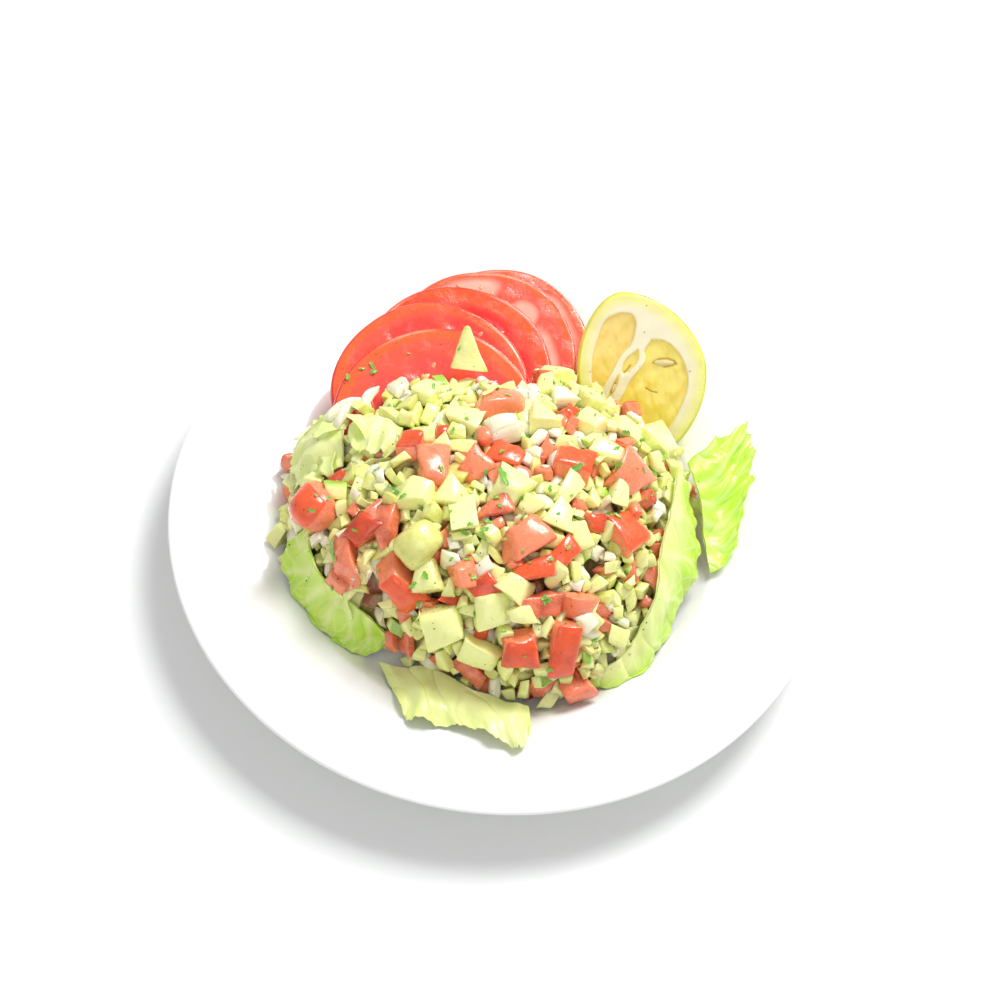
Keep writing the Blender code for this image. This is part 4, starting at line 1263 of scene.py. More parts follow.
@dataclass
class TomatoSlice:
    """One round slice of the fan, with its inner structure."""

    number: int
    place: np.ndarray
    radius: float
    look: Flesh
    thickness: float
    most_seeds: int = 9
    seed_spacing: float = 5.0
    seed_size: tuple[float, float, float] = (1.5, 0.9, 0.4)
    seed: int = 3

    def build(self, larder: Larder) -> bpy.types.Object:
        """Make the slice's cut faces, its skin and its seeds.

        Args:
            larder: The finishes.

        Returns:
            The piece.
        """
        rng = np.random.default_rng(self.seed + 10 * self.number)
        segments = 200
        shares = np.concatenate([np.linspace(0.04, 0.8, 24), np.linspace(0.8, 0.97, 18)[1:]])
        angles = np.linspace(0.0, TAU, segments, endpoint=False)
        a, s = (v.ravel() for v in np.broadcast_arrays(angles[None, :], shares[:, None]))
        lobed = self.radius * (1.0 + 0.008 * np.sin(5.0 * a + 1.3 * self.number))
        flat = np.stack([s * lobed * np.cos(a), s * lobed * np.sin(a), np.zeros_like(a)], -1)
        drift = 0.025 * ripple(flat, 28.0, rng)
        turn = a + 0.12 * ripple(flat, 22.0, rng)
        gel = np.zeros_like(a)
        for direction, half, inner, outer in self.look.chambers:
            offset = np.abs((turn - math.radians(direction) + math.pi) % TAU - math.pi) / math.radians(half)
            across = np.abs((s + drift - 0.5 * (inner + outer)) / (0.5 * (outer - inner)))
            gel = np.maximum(gel, smoothstep(1.15, 0.7, (offset ** 2.4 + across ** 2.4) ** (1 / 2.4)))
        wall = smoothstep(1.0 - self.look.wall - 0.05, 1.0 - self.look.wall + 0.02, s + drift * 0.6)
        # line: painted highlight, a thin pale band just inside the skin edge where the wet edge catches the
        # light, broken in places
        line = np.exp(-((s - 0.955) / 0.008) ** 2) * smoothstep(-0.5, 0.8, ripple(flat, 34.0, rng, 3))
        core = smoothstep(0.34, 0.06, s + drift)
        rim = smoothstep(0.958, 0.97, s)
        bumps = 0.18 * ripple(flat, 12.0, rng) * (1.0 - rim)
        height = 0.5 * self.thickness - 0.55 * gel + bumps + 0.12 * core
        top = np.column_stack([flat[:, :2], height])
        shape = Shape()
        self.put(shape, top, grid_faces(len(shares), segments, True)[:, ::-1],
                 gel=gel, wall=wall, line=line, core=core, rim=rim)
        for row in (top[:segments], self.bottom(top[:segments])):
            hub = np.array([[0.0, 0.0, row[0, 2]]])
            self.put(shape, np.vstack([row, hub]), fan_faces(segments), core=1.0)
        sides = np.linspace(0.0, 1.0, 9)
        edge = top[-segments:]
        rows = []
        for t in sides:
            bulge = 1.0 + 0.03 * math.sin(math.pi * t) ** 0.6
            z = edge[:, 2] * (1.0 - 2.0 * t) if t <= 0.5 else -0.5 * self.thickness * (2.0 * t - 1.0)
            rows.append(np.column_stack([edge[:, :2] * bulge, z * np.ones(segments)]))
        self.put(shape, np.vstack(rows), grid_faces(len(sides), segments, True)[:, ::-1], wall=1.0, rim=1.0)
        under = np.vstack([self.bottom(top[-segments:]), self.bottom(top[:segments])])
        self.put(shape, under, grid_faces(2, segments, True)[:, ::-1], wall=0.5)
        self.add_seeds(shape, flat, gel, rng)
        return shape.build(f"tomato_round_{self.number}", larder.slice, "tomato",
                           (f"tomato_slice_{self.number}",), merge=0.01)

    def bottom(self, row: np.ndarray) -> np.ndarray:
        """Return a row of the upper face moved to the lower face."""
        return np.column_stack([row[:, :2], np.full(len(row), -0.5 * self.thickness)])

    def put(self, shape: Shape, points: np.ndarray, faces: np.ndarray, **painted: np.ndarray | float) -> None:
        """Add points of the slice's own axes where the slice lies, with 0 for what isn't painted.

        Args:
            shape: Shape that it goes into.
            points: Points, one a row.
            faces: Rows of indices into the points.
            **painted: Painted values by name.
        """
        world = points @ self.place[:3, :3].T + self.place[:3, 3]
        painted = {"tone": self.look.tone, "ripe": self.look.ripe, **painted}
        every = {key: np.broadcast_to(painted.get(key, 0.0), len(points))
                 for key in ("gel", "wall", "line", "core", "rim", "seed", "tone", "ripe")}
        shape.add(world, faces, place=points + 60.0 * self.number, **every)

    def add_seeds(self, shape: Shape, flat: np.ndarray, gel: np.ndarray, rng: np.random.Generator) -> None:
        """Set flat pointed seeds into the gel.

        Args:
            shape: Shape that it goes into.
            flat: Points of the face, laid level.
            gel: How much gel lies at each point.
            rng: Source of the random draws.
        """
        inside = np.flatnonzero(gel > 0.8)
        ball, quads = ball_net((-1.0, -0.4, 0.4, 1.0))
        chosen: list[np.ndarray] = []
        for index in rng.permutation(inside)[:400]:
            spot = flat[index]
            if len(chosen) >= self.most_seeds:
                break
            if any(np.linalg.norm(spot - other) < self.seed_spacing for other in chosen):
                continue
            chosen.append(spot)
            turn = math.atan2(spot[1], spot[0]) + rng.normal() * 0.5
            seed = ball * np.array(self.seed_size)
            seed[:, 1] *= 1.0 - 0.35 * seed[:, 0] / 1.7
            seed = turned_flat(seed, turn) + spot + np.array([0.0, 0.0, 0.5 * self.thickness - 0.62])
            self.put(shape, seed, quads, seed=0.8)


@dataclass
class Fan:
    """The tomato slices, each of them resting on the one below."""

    slices: tuple[tuple[float, float, float, float], ...] = (
        (-9.7, 85.8, 13.0, 40.3), (-16.1, 76.8, 14.0, 40.7), (-26.8, 60.4, 15.0, 42.0),
        (-35.5, 45.6, 16.0, 41.7), (-31.3, 27.5, 17.0, 43.0))
    first_z: float = 19.2
    thickness: float = 7.4
    gap: float = 0.35
    looks: tuple[Flesh, ...] = (
        Flesh(0.55, 0.0, 0.07, ((38.0, 34.0, 0.50, 0.91), (115.0, 30.0, 0.55, 0.90), (200.0, 30.0, 0.5, 0.85),
                                (290.0, 30.0, 0.5, 0.85))),
        Flesh(0.70, 0.1, 0.08, ((108.0, 26.0, 0.52, 0.90), (50.0, 14.0, 0.50, 0.82), (10.0, 20.0, 0.45, 0.80),
                                (190.0, 30.0, 0.5, 0.85), (280.0, 30.0, 0.5, 0.85))),
        Flesh(0.15, 1.0, 0.16, ((70.0, 30.0, 0.42, 0.80), (15.0, 20.0, 0.45, 0.80), (135.0, 26.0, 0.45, 0.80),
                                (215.0, 30.0, 0.5, 0.82), (290.0, 30.0, 0.5, 0.82))),
        Flesh(0.45, 0.95, 0.11, ((60.0, 26.0, 0.48, 0.84), (115.0, 22.0, 0.50, 0.82), (5.0, 24.0, 0.45, 0.82),
                                 (180.0, 30.0, 0.5, 0.82), (270.0, 34.0, 0.5, 0.82))),
        Flesh(0.60, 0.9, 0.13, ((150.0, 24.0, 0.42, 0.74), (105.0, 18.0, 0.40, 0.70), (45.0, 24.0, 0.45, 0.8),
                                (215.0, 26.0, 0.5, 0.82), (280.0, 26.0, 0.5, 0.82),
                                (345.0, 26.0, 0.5, 0.82))),
    )

    def places(self) -> list[tuple[np.ndarray, float]]:
        """Return each slice's matrix and radius.

        Returns:
            One matrix and radius a slice.
        """
        places = []
        below = (0.0, 0.0, 0.0)
        for number, (x, y, tilt, radius) in enumerate(self.slices):
            slope = math.tan(math.radians(tilt))
            z = self.first_z
            if number > 0:
                z = below[1] + (y - below[0]) * below[2] + self.thickness / math.cos(math.radians(tilt))
                z += self.gap + (slope - below[2]) * radius
            below = (y, z, slope)
            matrix = Matrix.Translation((x, y, z)) @ Matrix.Rotation(math.radians(tilt), 4, "X")
            places.append((np.array(matrix), radius))
        return places

    def build(self, larder: Larder) -> list[bpy.types.Object]:
        """Make every slice."""
        return [TomatoSlice(number, place, radius, look, self.thickness).build(larder)
                for number, ((place, radius), look) in enumerate(zip(self.places(), self.looks), start=1)]


@dataclass
class Lemon:
    """The half lemon: its cut face with segments, membranes and pith, and its peel."""

    centre: tuple[float, float, float] = (49.4, 67.0, 39.373)
    half_length: float = 36.0
    half_width: float = 29.6
    low_half_width: float = 25.0
    depth: float = 23.0
    squareness: float = 1.75
    lean: float = 50.0
    facing: float = 4.0
    turn: float = 157.0
    peel: float = 1.7
    segments: tuple[tuple[tuple[float, float], ...], ...] = (
        ((-28.0, -1.0), (-26.5, 3.6), (-23.0, 4.8), (-19.0, 3.7), (-13.7, 0.8), (-9.0, -5.0), (-2.0, -11.0),
         (4.0, -16.5), (4.5, -19.5), (-3.0, -19.0), (-12.0, -16.5), (-20.5, -12.0), (-26.5, -7.0)),
        ((-14.0, 9.5), (-12.6, 14.0), (-9.5, 17.5), (-3.5, 20.5), (4.4, 21.2), (10.7, 19.6), (18.1, 15.0),
         (25.2, 9.0), (28.5, 4.0), (28.5, -3.0), (25.0, -11.0), (18.0, -13.8), (12.5, -12.5), (6.8, -7.6),
         (0.9, -2.6), (-5.2, 4.6), (-10.0, 5.6)),
        ((-11.4, 3.6), (-6.6, 2.4), (-3.0, -1.4), (-1.8, -5.4), (-4.8, -5.2), (-8.2, -2.6)),
        ((-2.4, -6.9), (2.0, -8.6), (7.6, -13.2), (6.4, -14.0), (0.8, -10.2)),
    )
    tones: tuple[float, ...] = (0.95, 0.1, 0.4, 0.5)
    seeds: tuple[tuple[float, float, float, float, float], ...] = (
        (-2.8, 12.6, 76.0, 4.6, 1.3), (3.4, -10.6, -35.0, 2.2, 0.7))
    # Grooves pressed into the face, painted dark brown as the shade in them
    groove_shades: tuple[tuple[tuple[float, float], ...], ...] = (
        ((-3.9, 8.0), (-4.9, 11.0), (-4.3, 14.4), (-2.6, 16.9), (-1.0, 17.6)),
        ((-1.3, 17.5), (-0.9, 14.5), (-1.1, 12.0)),
        ((-4.8, -1.6), (-3.2, -3.4), (-2.4, -4.8)), ((1.2, -9.4), (3.2, -10.6), (5.2, -12.4)),
        ((6.0, 2.6), (8.0, 4.6), (9.0, 6.8)))

    def axes(self) -> tuple[np.ndarray, np.ndarray, np.ndarray]:
        """Return the long axis, the axis across it that points up the face, and the face's normal.

        Returns:
            Three unit vectors.
        """
        lean, facing, turn = (math.radians(v) for v in (self.lean, self.facing, self.turn))
        flat = Vector((-math.sin(facing), -math.cos(facing), 0.0))
        normal = flat * math.sin(lean) + Vector((0.0, 0.0, math.cos(lean)))
        upward = (Vector((0.0, 0.0, 1.0)) - normal * normal.z).normalized()
        along = upward * math.cos(turn) + upward.cross(normal) * math.sin(turn)
        return np.array(along), -np.array(along.cross(normal)), np.array(normal)

    def rim(self, angles: np.ndarray) -> np.ndarray:
        """Return the outline of the cut face in its own plane.

        Args:
            angles: Directions in radians.

        Returns:
            Points in the plane of the face.
        """
        power = 2.0 / self.squareness
        x = np.copysign(np.abs(np.cos(angles)) ** power, np.cos(angles)) * self.half_length
        width = np.where(np.sin(angles) < 0.0, self.low_half_width, self.half_width)
        y = np.copysign(np.abs(np.sin(angles)) ** power, np.sin(angles)) * width
        return np.stack([x, y], -1)

    @staticmethod
    def near(points: np.ndarray, a: np.ndarray, b: np.ndarray) -> np.ndarray:
        """Return the distance of points from the line between a and b.

        Args:
            points: Points, one a row.
            a: One end of the line.
            b: Its other end.

        Returns:
            One distance a point.
        """
        edge = b - a
        t = np.clip(((points - a) @ edge) / (edge @ edge), 0.0, 1.0)
        return np.linalg.norm(points - a - t[:, None] * edge, axis=1)

    @staticmethod
    def inside(points: np.ndarray, outline: np.ndarray) -> np.ndarray:
        """Measure how far points lie inside a closed outline, negative outside.

        Args:
            points: Points in the plane.
            outline: Corners of the outline.

        Returns:
            One distance a point.
        """
        best = np.full(len(points), 1e9)
        crossings = np.zeros(len(points), int)
        for a, b in zip(outline, np.roll(outline, -1, axis=0)):
            edge = b - a
            best = np.minimum(best, Lemon.near(points, a, b))
            spans = (a[1] > points[:, 1]) != (b[1] > points[:, 1])
            reach = a[0] + (points[:, 1] - a[1]) / np.where(b[1] == a[1], TINY, b[1] - a[1]) * edge[0]
            crossings += spans & (points[:, 0] < reach)
        return np.where(crossings % 2 == 1, best, -best)

    def build(self, larder: Larder) -> bpy.types.Object:
        """Make the face, the peel and the seeds.

        Args:
            larder: The finishes.

        Returns:
            The piece.
        """
        along, across, normal = self.axes()
        basis = np.stack([along, across, normal])
        count = 264
        angles = np.linspace(0.0, TAU, count, endpoint=False)
        rim = self.rim(angles)
        shares = np.linspace(0.02, 1.0, 90)
        flat = (shares[:, None, None] * rim[None]).reshape(-1, 2)
        share = np.repeat(shares, count)
        pulp = np.zeros(len(flat))
        tone = np.full(len(flat), 0.5)
        for outline, shade in zip(self.segments, self.tones):
            smooth = spline(np.array(outline + outline[:1]), np.linspace(0.0, 1.0, 120))[:-1]
            mask = smoothstep(-0.2, 0.5, self.inside(flat, smooth))
            tone = np.where(mask > pulp, shade, tone)
            pulp = np.maximum(pulp, mask)
        groove_shade = np.zeros(len(flat))
        for line in self.groove_shades:
            near = np.min([self.near(flat, np.array(a), np.array(b)) for a, b in zip(line, line[1:])], axis=0)
            groove_shade = np.maximum(groove_shade, 0.7 * smoothstep(0.42, 0.08, near))
        edge = (1.0 - share) * np.hypot(flat[:, 0], flat[:, 1]) / np.maximum(share, 1e-6)
        peel = smoothstep(self.peel, self.peel - 1.2, edge)
        rind = smoothstep(8.0, 1.0, edge)
        rng = np.random.default_rng(8)
        level = np.column_stack([flat, np.zeros(len(flat))])
        height = (0.16 * ripple(level, 7.0, rng, 8) - 0.9) * pulp
        height += 0.12 * ripple(level, 11.0, rng) * (1.0 - pulp)
        height -= 1.1 * smoothstep(1.4, 0.0, edge) + 0.5 * groove_shade
        shape = Shape()
        self.put(shape, np.column_stack([flat, height]), grid_faces(len(shares), count, True), basis,
                 pulp=pulp, peel=peel, rind=rind, tone=tone, groove_shade=groove_shade)
        first = np.column_stack([flat[:count], height[:count]])
        self.put(shape, np.vstack([first, [[0.0, 0.0, first[:, 2].mean()]]]), fan_faces(count), basis,
                 pulp=np.append(pulp[:count], pulp[0]), tone=np.append(tone[:count], tone[0]))
        rows = []
        downs = np.linspace(0.0, 0.5 * math.pi, 40)[:-1]
        for down in downs:
            ring = np.column_stack([rim * math.cos(down), np.full(count, -self.depth * math.sin(down))])
            if down == 0.0:
                ring[:, 2] = height[-count:]
            rows.append(ring)
        body = np.vstack(rows)
        out = body / np.linalg.norm(body, axis=1, keepdims=True)
        body = body + out * (0.22 * ripple(body, 9.0, rng) * np.clip(-body[:, 2] / 3.0, 0.0, 1.0))[:, None]
        self.put(shape, body, grid_faces(len(downs), count, True)[:, ::-1], basis, peel=np.ones(len(body)))
        tip = np.vstack([body[-count:], [[0.0, 0.0, -self.depth]]])
        self.put(shape, tip, fan_faces(count), basis, peel=np.ones(count + 1))
        ball, quads = ball_net((-1.0, -0.5, 0.0, 0.5, 1.0))
        for x, y, turn, half_length, half_width in self.seeds:
            seed = ball * np.array([half_length, half_width, 0.7])
            seed[:, 1] *= 1.0 - 0.3 * ball[:, 0]
            seed = turned_flat(seed, math.radians(turn)) + np.array([x, y, -1.0])
            self.put(shape, seed, quads, basis, seed=np.ones(len(seed)))
        return shape.build("lemon_cut_half", larder.lemon, "lemon", ("lemon_half",), merge=0.01)

    def put(self, shape: Shape, points: np.ndarray, faces: np.ndarray, basis: np.ndarray,
            **painted: np.ndarray) -> None:
        """Add points of the face's own axes where the lemon lies, with 0 for what isn't painted.

        Args:
            shape: Shape that it goes into.
            points: Points, one a row.
            faces: Rows of indices into the points.
            basis: The face's axes as rows.
            **painted: Painted values by name.
        """
        every = {key: painted.get(key, np.zeros(len(points)))
                 for key in ("pulp", "peel", "rind", "seed", "tone", "groove_shade")}
        shape.add(points @ basis + np.array(self.centre), faces, place=points, **every)


@dataclass
class Leaf:
    """One lettuce leaf along its guide curves, from the side in the heap to the free edge."""

    node: str
    guides: tuple[tuple[tuple[float, float, float], ...], ...]
    ruffle: float
    waves: float
    phase: float
    pale: float = 0.4
    full: float = 0.9
    frill: float = 1.3
    thickness: float = 0.7
    columns: int = 230
    rows: int = 64
    plate: Plate = field(default_factory=Plate)

    def surface(self) -> tuple[np.ndarray, np.ndarray, np.ndarray]:
        """Return the middle surface as a grid, and each point's place along and across the leaf.

        Returns:
            The grid, the places along and the places across.
        """
        rng = np.random.default_rng(len(self.node) + 7)
        along = np.linspace(0.0, 1.0, self.columns)
        across = np.linspace(0.0, 1.0, self.rows)
        a, c = np.broadcast_arrays(along[None, :], across[:, None])
        curves = np.stack([spline(np.array(guide), along) for guide in self.guides])
        scallop = np.sin(TAU * self.waves * 1.3 * along + 3.0 * self.phase + 1.5 * np.sin(9.0 * along))
        scallop = 0.5 + 0.5 * scallop
        fringe = 0.5 + 0.5 * np.sin(TAU * self.waves * 4.7 * along + self.phase + 2.0 * np.sin(7.0 * along))
        scallop = 0.72 * scallop + 0.28 * fringe
        ends = smoothstep(0.14, 0.0, np.minimum(along, 1.0 - along)) ** 2
        grid = np.empty((self.rows, self.columns, 3))
        for column in range(self.columns):
            reach = across * (1.0 - 0.09 * scallop[column] * across ** 6) * (1.0 - 0.42 * ends[column])
            grid[:, column] = spline(curves[:, column], reach)
        wave = np.sin(TAU * self.waves * a + self.phase + 1.2 * c)
        grid[..., 2] += self.ruffle * (0.25 + 0.75 * c ** 2) * wave
        normals = grid_normals(grid)
        flat = grid.reshape(-1, 3)
        crumple = ripple(flat, 20.0, rng, 7).reshape(a.shape) * 0.9
        folds = 1.0 - 0.8 * np.abs(ripple(flat, 18.0, rng, 4).reshape(a.shape))
        blister = ripple(flat, 8.0, rng, 9).reshape(a.shape) * 0.14 + 0.6 * np.maximum(folds, 0.0) ** 4
        frill = np.sin(TAU * self.waves * 1.1 * a + 2.0 * self.phase + 2.5 * c + 2.0 * np.sin(8.0 * a))
        frill = frill + 0.3 * np.sin(TAU * self.waves * 3.1 * a + self.phase + 3.0 * np.sin(6.0 * a))
        rise = crumple + blister + self.frill * c ** 4 * frill * 0.55
        grid = grid + normals * rise[..., None]
        floor = self.plate.z(np.hypot(grid[..., 0], grid[..., 1])) + 0.8
        grid[..., 2] = np.maximum(grid[..., 2], floor)
        return grid, a, c

    def veins(self, along: np.ndarray, across: np.ndarray, length: float) -> np.ndarray:
        """Paint the ribs: a few main ones that fan out from the base, with branches.

        Args:
            along: Places along the leaf, 0 to 1.
            across: Places across it, 0 to 1.
            length: Length of the leaf.

        Returns:
            How much rib lies at each point, 0 to 1.
        """
        paint = np.zeros_like(along)
        count = max(3, int(self.waves) + 1)
        for k in range(count):
            foot = (k + 0.5) / count
            bend = foot + (foot - 0.5) * 0.25 * across + 0.02 * np.sin(7.0 * across + k)
            width = (2.2 * (1.0 - across) ** 1.2 + 0.45) / length
            paint = np.maximum(paint, np.exp(-((along - bend) / width) ** 2))
            for branch in range(5):
                start = 0.12 + 0.17 * branch
                side = 1.0 if (branch + k) % 2 else -1.0
                run = np.clip(across - start, 0.0, 1.0)
                spread = bend + side * run * 0.16
                thin = 0.5 / length
                paint = np.maximum(paint, 0.7 * (across > start) * np.exp(-((along - spread) / thin) ** 2))
        return paint

    def build(self, larder: Larder) -> bpy.types.Object:
        """Make the leaf as a thin closed sheet.

        Args:
            larder: The finishes.

        Returns:
            The piece.
        """
        grid, along, across = self.surface()
        length = float(np.linalg.norm(np.diff(grid[self.rows // 2], axis=0), axis=1).sum())
        depth = float(np.linalg.norm(np.diff(grid[:, self.columns // 2], axis=0), axis=1).sum())
        normals = grid_normals(grid)
        rib = self.veins(along, across, length)
        half = 0.5 * (self.thickness * (1.0 - 0.45 * across) + 0.5 * rib * (1.0 - across))
        patches = 0.14 * ripple(grid.reshape(-1, 3), 24.0, np.random.default_rng(4)).reshape(along.shape)
        green = self.pale + (self.full - self.pale) * smoothstep(0.0, 0.85, across) + patches
        ends = smoothstep(0.12, 0.0, np.minimum(along, 1.0 - along)) * 0.2
        place = np.stack([along * length, across * depth, np.zeros_like(along)], -1) + self.phase * 50.0
        sides = [(grid + sign * normals * half[..., None]).reshape(-1, 3) for sign in (1.0, -1.0)]
        shape = Shape()
        shape.add(np.vstack(sides), sheet_faces(self.rows, self.columns, True),
                  place=np.tile(place.reshape(-1, 3), (2, 1)),
                  green=np.tile(np.clip(green + ends, 0.0, 1.0).ravel(), 2), rib=np.tile(rib.ravel(), 2),
                  tone=np.full(2 * rib.size, 0.5))
        return shape.build(self.node.replace("lettuce", "leaf"), larder.lettuce, "lettuce", (self.node,))


# Each leaf: guide curves from the heap outward, ruffle, waves, phase, pale, full and frill
LEAVES = (
    Leaf("lettuce_right_back", (
        ((88.0, -11.0, 15.0), (84.0, 4.0, 20.0), (80.0, 18.0, 28.0), (74.0, 28.0, 36.0)),
        ((93.5, -8.0, 16.5), (93.0, 8.0, 19.0), (91.0, 26.0, 26.0), (84.0, 42.0, 34.0)),
        ((98.5, -3.0, 20.0), (99.0, 14.0, 25.0), (103.0, 33.0, 30.0), (100.0, 51.0, 34.0),
         (93.0, 56.0, 36.0)),
    ), 1.6, 5.0, 0.0, 0.82, 1.0, 1.1),
    Leaf("lettuce_right_front", (
        ((45.0, -62.5, 15.0), (57.0, -56.0, 20.0), (63.0, -40.0, 31.0), (65.0, -22.0, 38.0),
         (67.0, 0.0, 43.0), (68.5, 18.0, 46.0)),
        ((42.0, -67.0, 11.0), (60.0, -60.5, 13.0), (69.0, -42.0, 20.0), (74.0, -22.0, 26.0),
         (76.0, -2.0, 32.0), (74.0, 16.0, 40.0)),
        ((41.0, -69.5, 8.5), (60.0, -63.0, 9.0), (71.0, -46.0, 9.5), (77.0, -26.0, 12.0), (83.0, -12.0, 17.0),
         (81.0, 5.0, 24.0), (77.0, 18.0, 33.0)),
    ), 1.0, 6.0, 1.7, 0.38, 1.0, 1.1),
    Leaf("lettuce_left", (
        ((-78.0, -27.0, 35.0), (-69.0, -43.0, 32.0), (-58.0, -52.0, 29.0), (-47.0, -57.0, 25.0),
         (-38.0, -61.0, 16.0)),
        ((-83.0, -27.0, 26.0), (-75.0, -45.0, 20.0), (-63.0, -56.5, 17.0), (-50.0, -62.5, 14.0),
         (-38.0, -62.5, 11.0)),
        ((-88.0, -24.0, 25.0), (-82.0, -38.0, 15.0), (-76.0, -48.0, 11.0), (-64.0, -59.5, 9.5),
         (-52.0, -66.0, 8.5), (-38.0, -65.0, 8.2)),
    ), 1.3, 6.0, 3.4, 0.88, 1.0, 1.1),
    Leaf("lettuce_front", (
        ((-41.0, -68.5, 10.5), (-30.0, -71.0, 12.5), (-16.0, -72.5, 13.5), (-3.0, -79.0, 15.0),
         (11.0, -82.0, 15.0), (20.0, -83.0, 15.0)),
        ((-36.0, -79.0, 12.5), (-22.0, -85.0, 19.0), (-7.0, -88.5, 17.0), (8.0, -92.0, 21.0),
         (22.0, -93.0, 18.0)),
        ((-32.0, -89.0, 16.0), (-24.0, -98.0, 19.0), (-9.0, -97.0, 18.0), (3.0, -98.5, 20.0),
         (16.0, -105.0, 22.0), (25.0, -102.0, 21.0)),
    ), 1.2, 5.0, 5.1, 0.05, 0.3, 1.2),
    Leaf("lettuce_left_back", (
        ((-64.0, -5.0, 49.0), (-67.0, 8.0, 50.0), (-66.0, 19.0, 48.0)),
        ((-75.0, -7.0, 41.0), (-78.0, 8.0, 43.5), (-77.0, 22.0, 42.0)),
        ((-84.0, -7.0, 28.0), (-89.0, 6.0, 29.0), (-88.0, 18.0, 31.0)),
    ), 1.6, 3.0, 6.8, 0.05, 0.35, 1.2),
    Leaf("lettuce_scrap", (
        ((-43.0, 10.5, 57.5), (-52.0, 15.5, 57.0), (-62.0, 16.0, 54.5)),
        ((-43.0, 3.5, 60.5), (-53.0, 7.5, 59.0), (-64.0, 7.5, 55.5)),
        ((-46.0, -4.5, 58.5), (-55.0, -2.5, 57.5), (-63.0, -1.5, 54.5)),
    ), 1.5, 3.0, 8.5, 0.1, 0.3, 1.0),
)


@dataclass
class CucumberWedge:
    """The thin three-cornered cucumber piece that leans on the slices."""

    foot: tuple[float, float, float] = (-20.5, 48.3, 54.8)
    width: float = 15.5
    height: float = 17.5
    thickness: float = 4.5
    lean: float = 50.0

    def build(self, larder: Larder) -> bpy.types.Object:
        """Cut the wedge, round its edges and stand it up.

        Args:
            larder: The finishes.

        Returns:
            The piece.
        """
        net, quads = cube_net(tuple(np.sin(np.linspace(-0.5, 0.5, 15) * math.pi)))
        up = 0.5 + 0.5 * net[:, 1]
        bottom_half, tip_half = 0.5 * self.width, 0.09 * self.width
        half = bottom_half + (tip_half - bottom_half) * up
        shift = -0.18 * self.width * up
        round_off = 1.0 - 0.10 * net[:, 2] ** 2
        rng = np.random.default_rng(3)
        thick = 0.5 + 0.5 * net[:, 2] * (1.0 - 0.25 * np.abs(net[:, 0]) ** 3)
        points = np.column_stack([net[:, 0] * half * round_off + shift,
                                  (up - 0.02) * self.height * (1.0 - 0.04 * net[:, 0] ** 2),
                                  thick * self.thickness])
        points = points + 0.2 * ripple(points, 6.0, rng)[:, None] * np.array([0.5, 0.5, 1.0])
        corner = smoothstep(0.82, 1.0, net[:, 0]) * smoothstep(0.25, 0.0, up)
        skin = np.maximum(smoothstep(0.93, 1.0, up), corner)
        matrix = np.array(Matrix.Translation(self.foot) @ Matrix.Rotation(math.radians(self.lean), 4, "X"))
        world = points @ matrix[:3, :3].T + matrix[:3, 3]
        shape = Shape()
        shape.add(world, quads, skin=0.95 * skin, place=points, tone=np.full(len(points), 1.0))
        return shape.build("cucumber_point", larder.cucumber, "cucumber", ("cucumber_wedge",))


